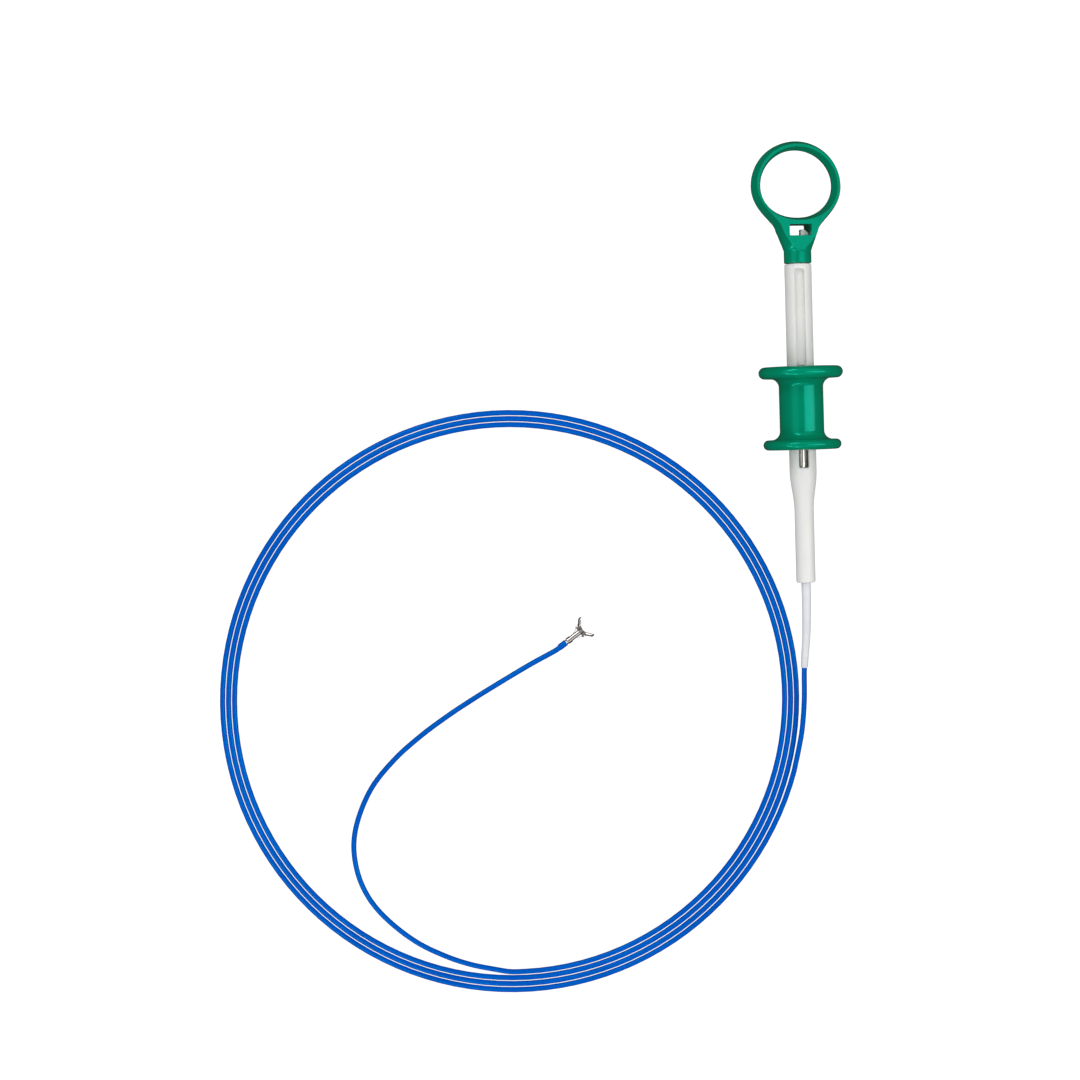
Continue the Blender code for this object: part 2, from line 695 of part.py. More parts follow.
def build_strain_relief(material):
    mouth = LEAD_MOUTH_INDEX + 3
    path = smooth_route(lead_points()[:mouth + 1], 3.2 * MM)
    path = [place for place in path if place.y >= LEAD_ROUTE[LEAD_MOUTH_INDEX][1] * MM - MERGE]
    travelled = [0.0]
    for before, after in zip(path, path[1:]):
        travelled.append(travelled[-1] + (after - before).length)
    ratio = RELIEF_MOUTH_RADIUS / RELIEF_ROOT_RADIUS
    tapers = [1.0 + (ratio - 1.0) * (length / travelled[-1]) ** 1.5 for length in travelled]
    outer = rod("relief_outer", path, RELIEF_ROOT_RADIUS, 6, None, None, tapers)
    relief = mesh_from_curve(outer, "strain_relief")
    relief.data.materials.clear()
    relief.data.materials.append(material)
    before = path[0] + (path[0] - path[1]).normalized() * CUT_MARGIN
    after = path[-1] + (path[-1] - path[-2]).normalized() * CUT_MARGIN
    bore = rod("relief_bore", [before] + path + [after], RELIEF_BORE, 4)
    boolean(relief, mesh_from_curve(bore, "relief_bore"), "DIFFERENCE")
    return relief


def build_sheath_lead(material):
    route = lead_points()
    mouth = route[LEAD_MOUTH_INDEX + 2]
    path = [place for place in smooth_route(route, 3.0 * MM) if place.y < mouth.y - MERGE]
    ahead = (path[0] - mouth).normalized()
    path.insert(0, mouth + ahead * MEETING_GAP)
    return rod("sheath_lead", path, SHEATH_RADIUS, SHEATH_SIDES_RESOLUTION, None, material)


def build_sheath_coil(material):
    outer = COIL_OUTER_TURN + SHEATH_RADIUS
    inner = COIL_OUTER_TURN - COIL_TURNS * COIL_STEP - SHEATH_RADIUS
    height = 2 * SHEATH_RADIUS
    edge = SHEATH_RADIUS / 2
    profile = [(inner + edge, height), (outer - edge, height), (outer, height - edge), (outer, edge),
               (outer - edge, 0.0), (inner + edge, 0.0), (inner, edge), (inner, height - edge),
               (inner + edge, height)]
    coil = turned("sheath_coil", profile, 72, None, material)
    coil.location = (COIL_CENTRE.x, COIL_CENTRE.y, 0.0)
    return coil


def build_sheath_tail(material):
    end = [tip_point(-STRAIGHT_END), tip_point(JACKET_TOP - JACKET_GRIP)]
    route = [Vector(place) * MM for place in TAIL_ROUTE] + end
    path = smooth_route(route, 5.0 * MM)
    return rod("sheath_tail", path, SHEATH_RADIUS, SHEATH_SIDES_RESOLUTION, None, material)


# Tip

def build_clevis(frame, material):
    blank_top = CLEVIS_TOP + CUT_MARGIN / 2
    profile = [(0.0, blank_top), (CLEVIS_RADIUS, blank_top)]
    profile += arc((CLEVIS_RADIUS - CLEVIS_EDGE, CLEVIS_EDGE), CLEVIS_EDGE, 0, -90, 2)
    profile.append((0.0, 0.0))
    clevis = turned("clevis", profile, 32, frame, material)
    side = CLEVIS_RADIUS + CUT_MARGIN
    right = [(EAR_HALF_WIDTH, SHOULDER_HIGH), (side, SHOULDER_LOW - (side - CLEVIS_RADIUS) * 2),
             (side, -CUT_MARGIN)]
    corner = (EAR_HALF_WIDTH - EAR_CORNER, CLEVIS_TOP - EAR_CORNER)
    half = arc(corner, EAR_CORNER, 90, 0, 3) + right
    outline = half + [(-across, along) for across, along in reversed(half)]
    boolean(clevis, flat_outline("ear_outline", outline, 4 * CLEVIS_RADIUS, frame), "INTERSECT")
    high = CLEVIS_TOP + CUT_MARGIN
    gap = box("ear_gap", (-side, -EAR_GAP, EAR_GAP_START), (side, EAR_GAP, high), frame)
    boolean(clevis, gap, "DIFFERENCE")
    bore_end = EAR_GAP_START + 3 * RELIEF_RUN_OUT
    bore = cylinder("clevis_bore", CLEVIS_BORE, SPRING_SEAT_DEPTH / 2, bore_end, 24, frame)
    boolean(clevis, bore, "DIFFERENCE")
    seat = cylinder("spring_seat", SPRING_RADIUS + FIT_GAP, -CUT_MARGIN, SPRING_SEAT_DEPTH, 32, frame)
    boolean(clevis, seat, "DIFFERENCE")
    relief_top = EAR_GAP_START + RELIEF_RUN_OUT
    relief = [(-LINK_RELIEF_TOP, relief_top), (LINK_RELIEF_TOP, relief_top),
              (LINK_RELIEF_FOOT, LINK_RELIEF_START), (-LINK_RELIEF_FOOT, LINK_RELIEF_START)]
    boolean(clevis, flat_outline("link_relief", relief, LINK_RELIEF_WIDTH, frame), "DIFFERENCE")
    for number, facing in enumerate((1, -1)):
        turn = Matrix.Translation((0.0, 0.0, CLEVIS_TOP)) @ Matrix.Rotation(facing * math.pi / 2, 4, "X")
        mill = cylinder(f"ear_mill_{number}", MILL_RADIUS, EAR_FLAT, EAR_FLAT + CUT_MARGIN, 32, frame, turn)
        boolean(clevis, mill, "DIFFERENCE")
    pivot = Matrix.Translation((0.0, 0.0, PIVOT_HEIGHT)) @ ACROSS
    hole = cylinder("ear_hole", PIN_RADIUS + FIT_GAP, -side, side, 16, frame, pivot)
    boolean(clevis, hole, "DIFFERENCE")
    boolean(clevis, build_weld_spots(frame), "DIFFERENCE")
    return clevis


def build_weld_spots(frame):
    """Shallow round weld marks spaced evenly round the clevis base."""
    shape = bmesh.new()
    for number in range(WELD_SPOTS):
        angle = 2 * math.pi * number / WELD_SPOTS - math.pi / 2
        out = CLEVIS_RADIUS + WELD_SPOT_RADIUS * 0.55
        place = Matrix.Translation((out * math.cos(angle), out * math.sin(angle), WELD_SPOT_HEIGHT))
        bmesh.ops.create_uvsphere(shape, u_segments=9, v_segments=5, radius=WELD_SPOT_RADIUS, matrix=place)
    mesh = bpy.data.meshes.new("weld_spots")
    shape.to_mesh(mesh)
    shape.free()
    return add_mesh_object("weld_spots", mesh, frame)


def build_pivot_pin(frame, material):
    """A riveted pin with a dimpled end in each ear."""
    dimple = 0.65 * PIN_RADIUS
    floor = EAR_FLAT - PIN_RADIUS / 2
    profile = [(0.0, floor), (dimple, floor), (dimple, EAR_FLAT), (PIN_RADIUS, EAR_FLAT),
               (PIN_RADIUS, -EAR_FLAT), (dimple, -EAR_FLAT), (dimple, -floor), (0.0, -floor)]
    pin = turned("pivot_pin", profile, 16, frame, material)
    pin.location = (0.0, 0.0, PIVOT_HEIGHT)
    pin.rotation_euler = (math.pi / 2, 0.0, 0.0)
    return pin


def left_normal(here, after):
    """Heading of the normal, on the left, of the line that touches two circles."""
    along = Vector(after[0]) - Vector(here[0])
    return math.atan2(along.y, along.x) + math.acos((here[1] - after[1]) / along.length)


def belt(circles, count):
    """Outline of a belt run clockwise round (centre, radius) circles."""
    points = []
    for index, here in enumerate(circles):
        start = left_normal(circles[index - 1], here)
        sweep = (start - left_normal(here, circles[(index + 1) % len(circles)])) % (2 * math.pi)
        if sweep > 1.8 * math.pi:
            sweep -= 2 * math.pi
        steps = max(1, math.ceil(abs(sweep) / (2 * math.pi) * count))
        for step in range(steps + 1):
            angle = start - sweep * step / steps
            points.append((here[0][0] + here[1] * math.cos(angle), here[0][1] + here[1] * math.sin(angle)))
    return points


def lever_hole_place():
    return (-LEVER_LENGTH * math.sin(LEVER_ANGLE), LEVER_LENGTH * math.cos(LEVER_ANGLE))


def build_cup(name, frame, material):
    """Half of a round-ended tube, cut off flat along the seam where the two cups meet."""
    ball = CUP_TIP - CUP_RADIUS
    profile = [(0.0, CUP_TIP)] + arc((0.0, ball), CUP_RADIUS, 72, 0, 4) + [(CUP_RADIUS, CUP_HEEL)]
    cup = turned(name, profile, 16, frame, material, CUP_SWEEP)
    wall = cup.modifiers.new("wall", "SOLIDIFY")
    wall.thickness = CUP_WALL
    wall.offset = -1.0
    side = 2 * CUP_RADIUS
    seam = box(name + "_seam", (-side, -side, -side), (CUP_SEAM, side, CUP_TIP + side), frame)
    boolean(cup, seam, "DIFFERENCE")
    return cup


def build_jaw(name, side_turn, frame, material):
    """A cup on a flat plate, with the eye for the pivot and a lever for the link."""
    layer = -(CUP_SEAM + PLATE_THICKNESS / 2)
    jaw = build_cup(name, frame, material)
    eye_ring = ((0.0, 0.0), EYE_RADIUS)
    lever_end = (lever_hole_place(), LEVER_END_RADIUS)
    outline = belt([(FIN_CENTRE, FIN_RADIUS), eye_ring, lever_end, eye_ring], 18)
    plate = flat_outline(name + "_plate", outline, PLATE_THICKNESS, frame, layer)
    boolean(jaw, plate, "UNION")
    eye = cylinder(name + "_eye", PIN_RADIUS + PIN_CLEARANCE, -CUP_RADIUS, CUP_RADIUS, 16, frame, ACROSS)
    boolean(jaw, eye, "DIFFERENCE")
    across, along = lever_hole_place()
    place = Matrix.Translation((across, 0.0, along)) @ ACROSS
    hole = cylinder(name + "_hole", LEVER_HOLE, -CUP_RADIUS, CUP_RADIUS, 12, frame, place)
    boolean(jaw, hole, "DIFFERENCE")
    holder = bpy.data.objects.new(name + "_pivot", None)
    PARTS.objects.link(holder)
    holder.parent = frame
    holder.location = (0.0, 0.0, PIVOT_HEIGHT)
    holder.rotation_euler = (0.0, JAW_OPEN, side_turn)
    for piece in [jaw] + [modifier.object for modifier in jaw.modifiers if modifier.type == "BOOLEAN"]:
        piece.parent = holder
    return jaw


def open_hook_place():
    """Where the right lever's hole stands in the tip frame with the jaws open."""
    angle = JAW_OPEN - LEVER_ANGLE
    return (LEVER_LENGTH * math.sin(angle), PIVOT_HEIGHT + LEVER_LENGTH * math.cos(angle))


def build_link(name, side_turn, frame, material):
    """Bent wire: hooked through the lever, then cranked inwards to the pull block."""
    across, along = open_hook_place()
    reach = Vector((-LINK_FOOT - across, LINK_FOOT_HEIGHT - along))
    lean = math.atan2(reach.x, -reach.y)
    bend = LINK_BEND
    layer = CUP_SEAM + PLATE_THICKNESS + LINK_RADIUS + FIT_GAP
    points = [(0.0, -LINK_RADIUS), (0.0, layer - bend)]
    points += [(bend - bend * math.cos(angle), layer - bend + bend * math.sin(angle))
               for angle in (math.radians(30.0), math.radians(60.0), math.radians(90.0))]
    for index in range(LINK_CRANK_STEPS + 1):
        part = index / LINK_CRANK_STEPS
        blend = 0.5 - 0.5 * math.cos(math.pi * part)
        points.append((LINK_CRANK_START + LINK_CRANK_LENGTH * part,
                       layer + (LINK_FOOT_LAYER - layer) * blend))
    points.append((reach.length, LINK_FOOT_LAYER))
    path = [Vector((0.0, -height, -distance)) for distance, height in points]
    link = rod(name, path, LINK_RADIUS, 2, frame, material)
    turn = Matrix.Rotation(side_turn, 4, "Z")
    link.location = turn @ Vector((across, 0.0, along))
    link.rotation_euler = (0.0, -lean, side_turn)
    return link


def build_pull_block(frame, material):
    end = BLOCK_START + BLOCK_LENGTH
    edge = BLOCK_EDGE
    profile = [(0.0, end), (BLOCK_RADIUS - edge, end), (BLOCK_RADIUS, end - edge),
               (BLOCK_RADIUS, BLOCK_START + edge), (BLOCK_RADIUS - edge, BLOCK_START), (0.0, BLOCK_START)]
    block = turned("pull_block", profile, 24, frame, material)
    fork = box("fork", (-CLEVIS_RADIUS, -FORK_HALF_GAP, end - FORK_DEPTH),
               (CLEVIS_RADIUS, FORK_HALF_GAP, end + CUT_MARGIN), frame)
    boolean(block, fork, "DIFFERENCE")
    return block


def build_pull_stub(frame, material):
    high = BLOCK_START - FIT_GAP
    return cylinder("tip_wire", STUB_RADIUS, high - STUB_LENGTH, high, 12, frame, None, material)


def build_sheath_spring(frame, material):
    """The steel winding of the sheath where it shows between the clevis and the blue jacket."""
    middle = SPRING_RADIUS - SPRING_WIRE / 2
    per_turn = 12
    points = []
    for index in range(round(SPRING_TURNS * per_turn) + 1):
        angle = 2 * math.pi * index / per_turn
        points.append(Vector((middle * math.cos(angle), middle * math.sin(angle),
                              SPRING_TOP - SPRING_PITCH * index / per_turn)))
    return rod("sheath_winding", points, SPRING_WIRE / 2, 1, frame, material)


def build_jacket(frame, material):
    low = JACKET_TOP - JACKET_LENGTH
    return turned_tube("tip_collar", JACKET_RADIUS, JACKET_BORE, low, JACKET_TOP, 24, frame, material)


def build():
    green = new_material("green_plastic", (0.0, 0.26, 0.12), 0.25, 0.0)
    white = new_material("white_plastic", (0.78, 0.78, 0.76), 0.4, 0.0)
    sleeve = new_material("sleeve_plastic", (0.86, 0.86, 0.85), 0.45, 0.0)
    blue = new_material("blue_sheath", (0.0, 0.1, 0.55), 0.35, 0.0)
    steel = new_material("steel", (0.6, 0.59, 0.57), 0.3, 1.0)
    brass = new_material("brass", (0.7, 0.55, 0.28), 0.35, 1.0)
    handle = place_handle()
    build_handle_shaft(handle, white)
    build_thumb_ring(handle, green)
    build_spool(handle, green)
    build_slider_key(handle, brass)
    build_clamp_screw(handle, steel)
    build_operating_tube(handle, steel)
    build_pull_wire(handle, steel)
    build_sheath_gland(handle, brass)
    build_strain_relief(sleeve)
    build_sheath_lead(blue)
    build_sheath_coil(blue)
    build_sheath_tail(blue)
    tip = place_tip()
    build_clevis(tip, steel)
    build_pivot_pin(tip, steel)
    build_jaw("right_jaw", 0.0, tip, steel)
    build_jaw("left_jaw", math.pi, tip, steel)
    build_link("right_link", 0.0, tip, steel)
    build_link("left_link", math.pi, tip, steel)
    build_pull_block(tip, steel)
    build_pull_stub(tip, steel)
    build_sheath_spring(tip, steel)
    build_jacket(tip, blue)


build()
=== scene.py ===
# %% [markdown]
# # Dressing an endoscopic biopsy forceps
# The real instrument is three things in one: a moulded handle that the hand works, two and a half
# metres of thin blue sheath, and a pair of steel cups no bigger than a grain of rice. The packed
# frame brings every part at its real size and place. This lesson gives each visible part a finer
# surface and its own finish, and it never moves a part.

# %% Load the frame
import math

import bmesh
import bpy
from mathutils import Matrix, Vector


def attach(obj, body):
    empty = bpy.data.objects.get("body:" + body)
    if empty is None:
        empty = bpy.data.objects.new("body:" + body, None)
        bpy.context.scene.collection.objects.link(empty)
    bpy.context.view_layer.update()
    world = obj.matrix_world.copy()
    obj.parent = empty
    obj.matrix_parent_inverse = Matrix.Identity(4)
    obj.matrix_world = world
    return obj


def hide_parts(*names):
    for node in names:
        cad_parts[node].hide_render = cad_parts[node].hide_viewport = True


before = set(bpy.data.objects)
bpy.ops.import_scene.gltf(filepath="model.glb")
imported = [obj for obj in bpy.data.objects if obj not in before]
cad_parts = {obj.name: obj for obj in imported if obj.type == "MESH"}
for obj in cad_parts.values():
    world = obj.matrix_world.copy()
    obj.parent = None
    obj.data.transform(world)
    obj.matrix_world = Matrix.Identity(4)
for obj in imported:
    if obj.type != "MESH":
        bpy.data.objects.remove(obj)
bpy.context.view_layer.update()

MM = 0.001
print("nodes:", len(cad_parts))

# %% [markdown]
# ## Two axes to work on
# The handle lies on the two rims of its spool. The rear rim is the larger, so the handle tips up a
# little towards the thumb ring. Each group is modelled on its own straight axis, with local +Z
# along it and local -Y facing up, and a matrix carries the finished shape to its place. A maker
# would do the same: turn a part on its own axis first, and think about the table later.

# %% The handle's axis and the tip's axis
FRONT_RIM_RADIUS = 15.3 * MM
REAR_RIM_RADIUS = 16.55 * MM
FRONT_RIM_WIDTH = 4.0 * MM
REAR_RIM_WIDTH = 4.7 * MM
SPOOL_START = 52.5 * MM
SPOOL_LENGTH = 32.7 * MM
RIM_SPAN = SPOOL_LENGTH - (FRONT_RIM_WIDTH + REAR_RIM_WIDTH) / 2
TILT = math.asin((REAR_RIM_RADIUS - FRONT_RIM_RADIUS) / RIM_SPAN)
RIM_EDGE = FRONT_RIM_WIDTH / 2
TAIL_HEIGHT = ((FRONT_RIM_RADIUS - RIM_EDGE) * math.cos(TILT) + RIM_EDGE
               - (SPOOL_START + RIM_EDGE) * math.sin(TILT))
HANDLE_TAIL = (39.8 * MM, -75.3 * MM, TAIL_HEIGHT)
HANDLE = Matrix.Translation(HANDLE_TAIL) @ Matrix.Rotation(TILT - math.pi / 2, 4, "X")

TIP_HEADING = math.radians(35.85)
TIP_HEIGHT = 1.3 * MM
TIP = (Matrix.Translation((-54.95 * MM, -96.1 * MM, TIP_HEIGHT))
       @ Matrix.Rotation(TIP_HEADING - math.pi / 2, 4, "Z") @ Matrix.Rotation(-math.pi / 2, 4, "X"))
print("handle tips up by", round(math.degrees(TILT), 2), "degrees")
print("tail end stands", round(TAIL_HEIGHT / MM, 2), "mm above the table")

# %% [markdown]
# ## Camera
# The photograph is taken from straight above, so the handle and the coil read as a drawing. A long
# lens a metre up keeps the coil round at the edges of the frame. The frame is rolled by the small
# angle that the handle leans in the picture.

# %% Camera above the middle of the picture
CAMERA_HEIGHT = 1.02
PICTURE_MIDDLE = Vector((-64.7 * MM, -55.3 * MM))
PICTURE_WIDTH = 0.432
PICTURE_ROLL = math.radians(-1.75)


def new_object(name, data):
    """A new object that shows the data, linked to the scene."""
    thing = bpy.data.objects.new(name, data)
    bpy.context.scene.collection.objects.link(thing)
    return thing


camera_data = bpy.data.cameras.new("overhead_camera")
camera_data.sensor_width = 36.0
camera_data.lens = camera_data.sensor_width * CAMERA_HEIGHT / PICTURE_WIDTH
camera = new_object("overhead_camera", camera_data)
camera.location = (PICTURE_MIDDLE.x, PICTURE_MIDDLE.y, CAMERA_HEIGHT)
camera.rotation_euler = (0.0, 0.0, PICTURE_ROLL)
bpy.context.scene.camera = camera
print("lens:", round(camera_data.lens, 1), "mm")

# %% [markdown]
# ## Sheath
# The sheath is a steel winding in a blue coat, springy enough to lie in wide even turns. It leaves
# the handle inside a white sleeve, sinks to the table, winds inwards by a little more than its own
# thickness each turn, and its tail curves back through the middle to the jaws. A spiral is worked
# out by a loop. The loose tail is a given route, smoothed so that it bends like a spring.

# %% Route of the sheath
SHEATH_DIAMETER = 2.1 * MM
COIL_CENTRE = Vector((-78.2 * MM, -118.7 * MM))
COIL_OUTER_TURN = 116.5 * MM
COIL_STEP = 2.4 * MM
COIL_TURNS = 3.25
COIL_START_ANGLE = math.radians(-1.75)
GLAND_START = 4.4 * MM
LEAD_ROUTE = (
    (39.8, -83.5, 12.4),
    (39.5, -96.0, 10.9),
    (38.6, -108.9, 8.3),
    (38.4, -122.3, 5.9),
    (37.4, -133.5, 4.5),
    (35.9, -141.4, 3.75),
)
SLEEVE_MOUTH_INDEX = 2
TAIL_ROUTE = (
    (-87.9, -226.2, 1.05),
    (-97.8, -223.9, 1.05),
    (-107.8, -220.2, 1.05),
    (-118.7, -214.5, 1.05),
    (-129.1, -206.2, 1.05),
    (-136.7, -197.3, 1.05),
    (-141.3, -187.1, 1.05),
    (-142.8, -175.4, 1.05),
    (-140.6, -164.2, 1.05),
    (-134.7, -151.9, 1.05),
    (-125.5, -141.2, 1.05),
    (-115.1, -132.4, 1.05),
    (-104.1, -124.7, 1.05),
    (-93.3, -118.0, 1.05),
    (-81.5, -111.2, 1.1),
    (-69.8, -104.7, 1.3),
)
TIP_COLLAR_TOP = -0.8 * MM
SHEATH_END = TIP_COLLAR_TOP - 2.2 * MM


def smooth_route(points, spacing):
    """Points along a smooth curve through the route's own points."""
    ends = [points[0] * 2 - points[1]] + list(points) + [points[-1] * 2 - points[-2]]
    route = []
    for index in range(1, len(ends) - 2):
        before, start, end, after = ends[index - 1:index + 3]
        count = max(1, round((end - start).length / spacing))
        for step in range(count):
            t = step / count
            route.append(0.5 * (2 * start + (end - before) * t
                                + (2 * before - 5 * start + 4 * end - after) * t ** 2
                                + (3 * start - before - 3 * end + after) * t ** 3))
    route.append(points[-1])
    return route


def route_length(points):
    return sum((after - before).length for before, after in zip(points, points[1:]))


handle_exit = HANDLE @ Vector((0.0, 0.0, 0.0))
lead = [HANDLE @ Vector((0.0, 0.0, GLAND_START - 0.3 * MM)), handle_exit]
lead += [Vector(place) * MM for place in LEAD_ROUTE]
print("lead:", round(route_length(lead) / MM), "mm")

# %% Turns of the coil
POINTS_PER_TURN = 120
SETTLING_TURN = 0.085
LANDING_STEPS = 1.5
landing = lead[-1]
landing_angle = math.atan2(landing.y - COIL_CENTRE.y, landing.x - COIL_CENTRE.x)
landing_turn = (COIL_START_ANGLE - landing_angle) / math.tau


def coil_point(turn):
    """A point on the flat inward spiral, still sinking where the lead comes down on it."""
    radius = COIL_OUTER_TURN - COIL_STEP * turn
    angle = COIL_START_ANGLE - math.tau * turn
    left = max(0.0, 1.0 - (turn - landing_turn) / SETTLING_TURN)
    height = SHEATH_DIAMETER / 2 + (landing.z - SHEATH_DIAMETER / 2) * left ** 2
    across = COIL_CENTRE.x + radius * math.cos(angle)
    along = COIL_CENTRE.y + radius * math.sin(angle)
    return Vector((across, along, height))


first_turn = landing_turn + LANDING_STEPS / POINTS_PER_TURN
wound = COIL_TURNS - first_turn
turn_count = round(wound * POINTS_PER_TURN)
turns = [coil_point(first_turn + wound * step / turn_count) for step in range(turn_count + 1)]
print("turns:", round(route_length(turns), 3), "m of sheath in", turn_count, "steps")

# %% The whole sheath as one curve
LEAD_SPACING = 2.2 * MM
TAIL_SPACING = 1.2 * MM
STRAIGHT_START = -6.0 * MM
SHEATH_FINENESS = 6

tail = [Vector(place) * MM for place in TAIL_ROUTE]
tail += [TIP @ Vector((0.0, 0.0, STRAIGHT_START)), TIP @ Vector((0.0, 0.0, SHEATH_END))]
sheath_path = smooth_route(lead + turns[:1], LEAD_SPACING)[:-1] + turns[:-1]
sheath_path += smooth_route([turns[-2], turns[-1]] + tail, TAIL_SPACING)[1:]


def tube_curve(name, points, radii, resolution):
    """A round tube whose points carry their own radius in metres."""
    curve = bpy.data.curves.new(name, "CURVE")
    curve.dimensions = "3D"
    curve.bevel_depth = 1.0
    curve.bevel_resolution = resolution
    curve.use_fill_caps = True
    spline = curve.splines.new("POLY")
    spline.points.add(len(points) - 1)
    for point, place, radius in zip(spline.points, points, radii):
        point.co = (*place, 1.0)
        point.radius = radius
    spline.use_smooth = True
    return new_object(name, curve)


def even_tube(name, points, radius, resolution):
    return tube_curve(name, points, [radius] * len(points), resolution)


sheath = even_tube("blue_sheath", sheath_path, SHEATH_DIAMETER / 2, SHEATH_FINENESS)
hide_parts("sheath_lead", "sheath_coil", "sheath_tail")
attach(sheath, "root")

# %% [markdown]
# ## Helpers for solid shapes
# Three operations make nearly everything here. A turned part is half of its section spun round the
# axis. A plate is a flat outline given thickness. A cut or a join is a Boolean, worked out at once
# so that no cutter is left in the scene. A last helper rounds the sharp edges, because a moulded or
# machined edge is never perfectly sharp and it is the rounding that catches the light.

# %% Turn a modified object into a plain mesh
WELD = 1e-6


def solid_from(name, shape):
    """A new object made from a worked shape, which is then let go."""
    mesh = bpy.data.meshes.new(name)
    shape.to_mesh(mesh)
    shape.free()
    return new_object(name, mesh)


def bake(piece):
    """Work out the object's modifiers and keep the result as its mesh."""
    bpy.context.view_layer.update()
    graph = bpy.context.evaluated_depsgraph_get()
    mesh = bpy.data.meshes.new_from_object(piece.evaluated_get(graph))
    shape = bmesh.new()
    shape.from_mesh(mesh)
    bmesh.ops.remove_doubles(shape, verts=shape.verts, dist=WELD)
    if piece.type == "CURVE":
        bmesh.ops.recalc_face_normals(shape, faces=shape.faces)
    shape.to_mesh(mesh)
    shape.free()
    if piece.type == "MESH":
        piece.modifiers.clear()
        piece.data = mesh
        return piece
    name = piece.name
    place = piece.matrix_world.copy()
    bpy.data.objects.remove(piece, do_unlink=True)
    solid = new_object(name, mesh)
    solid.matrix_world = place
    return solid


print("points closer than", WELD / MM, "mm are welded")

# %% Turned parts
def arc(centre, radius, start, end, count):
    """Points on an arc, angles in degrees, as (radius, height) pairs."""
    points = []
    for index in range(count + 1):
        angle = math.radians(start + (end - start) * index / count)
        points.append((centre[0] + radius * math.cos(angle), centre[1] + radius * math.sin(angle)))
    return points


def turned(name, profile, steps, sweep=math.tau):
    """Spin (radius, height) points, listed from the top down the outer side."""
    start = 0.0 if sweep == math.tau else -sweep / 2
    points = [(radius * math.cos(start), radius * math.sin(start), height) for radius, height in profile]
    edges = [(index, index + 1) for index in range(len(points) - 1)]
    if profile[0] == profile[-1]:
        points.pop()
        edges[-1] = (len(points) - 1, 0)
    mesh = bpy.data.meshes.new(name)
    mesh.from_pydata(points, edges, [])
    solid = new_object(name, mesh)
    screw = solid.modifiers.new("turn", "SCREW")
    screw.angle = sweep
    screw.steps = steps
    screw.render_steps = steps
    screw.use_merge_vertices = True
    screw.merge_threshold = WELD
    return bake(solid)


def rod_between(name, radius, low, high, sides, place=None):
    shape = bmesh.new()
    middle = Matrix.Translation((0.0, 0.0, (low + high) / 2))
    bmesh.ops.create_cone(shape, cap_ends=True, segments=sides, radius1=radius, radius2=radius,
                          depth=high - low, matrix=(place or Matrix()) @ middle)
    return solid_from(name, shape)


print("a quarter round in four steps has", len(arc((0.0, 0.0), MM, 90, 0, 4)), "points")

# %% Plates and blocks
SIDEWAYS = Matrix.Rotation(math.pi / 2, 4, "X")


def plate(name, outline, thickness, middle=0.0):
    """A plate cut to a closed outline of (x, z) points, standing across local Y."""
    curve = bpy.data.curves.new(name, "CURVE")
    curve.dimensions = "2D"
    curve.fill_mode = "BOTH"
    curve.extrude = thickness / 2
    spline = curve.splines.new("POLY")
    spline.points.add(len(outline) - 1)
    for point, (across, along) in zip(spline.points, outline):
        point.co = (across, along, 0.0, 1.0)
    spline.use_cyclic_u = True
    solid = bake(new_object(name, curve))
    solid.data.transform(Matrix.Translation((0.0, middle, 0.0)) @ SIDEWAYS)
    return solid


def block(name, low, high):
    low = Vector(low)
    high = Vector(high)
    shape = bmesh.new()
    place = Matrix.Translation((low + high) / 2) @ Matrix.Diagonal((*(high - low), 1.0))
    bmesh.ops.create_cube(shape, size=1.0, matrix=place)
    return solid_from(name, shape)


def rounded_rectangle(left, right, low, high, corner, count):
    corners = ((right - corner, high - corner, 90), (right - corner, low + corner, 0),
               (left + corner, low + corner, -90), (left + corner, high - corner, -180))
    points = []
    for across, along, start in corners:
        points += arc((across, along), corner, start, start - 90, count)
    return points


print("a plate with four steps to a corner has", len(rounded_rectangle(-1, 1, -1, 1, 0.5, 4)), "sides")

# %% Cuts, joins and softened edges
FLAT_ANGLE = math.radians(0.3)


def carve(target, *tools, operation="DIFFERENCE"):
    """Cut or join each tool in turn, then drop the tool."""
    for tool in tools:
        modifier = target.modifiers.new("carve", "BOOLEAN")
        modifier.operation = operation
        modifier.solver = "MANIFOLD"
        modifier.object = tool
        bake(target)
        bpy.data.objects.remove(tool, do_unlink=True)
    return target


def soften(solid, width, segments=2, angle=40.0):
    """Merge the flat faces, then round the edges that are sharper than the angle."""
    shape = bmesh.new()
    shape.from_mesh(solid.data)
    bmesh.ops.dissolve_limit(shape, angle_limit=FLAT_ANGLE, verts=shape.verts, edges=shape.edges)
    shape.to_mesh(solid.data)
    shape.free()
    bevel = solid.modifiers.new("soften", "BEVEL")
    bevel.width = width
    bevel.segments = segments
    bevel.limit_method = "ANGLE"
    bevel.angle_limit = math.radians(angle)
    bevel.use_clamp_overlap = True
    return bake(solid)


def shade(solid, smooth):
    """Smooth shading that keeps the sharp edges, and leaves the flat faces flat."""
    solid.data.shade_smooth()
    solid.data.set_sharp_from_angle(angle=math.radians(smooth))
    weighted = solid.modifiers.new("flat_faces", "WEIGHTED_NORMAL")
    weighted.keep_sharp = True


def dress(solid, node, body, slot, axis, smooth=35.0):
    """Put a finished solid on its axis, in place of its node, and let it ride on a body.

    Plastic is carried there in its mesh, so that its box lies square to the table. Steel keeps its own
    axis, because its brushed grain runs along it.
    """
    place = axis @ solid.matrix_world
    if slot == "steel":
        solid.matrix_world = place
    else:
        solid.data.transform(place)
        solid.matrix_world = Matrix()
    shade(solid, smooth)
    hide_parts(node)
    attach(solid, body)
    print(f"{solid.name}: {len(solid.data.polygons)} faces, rides on {body}")
    return solid


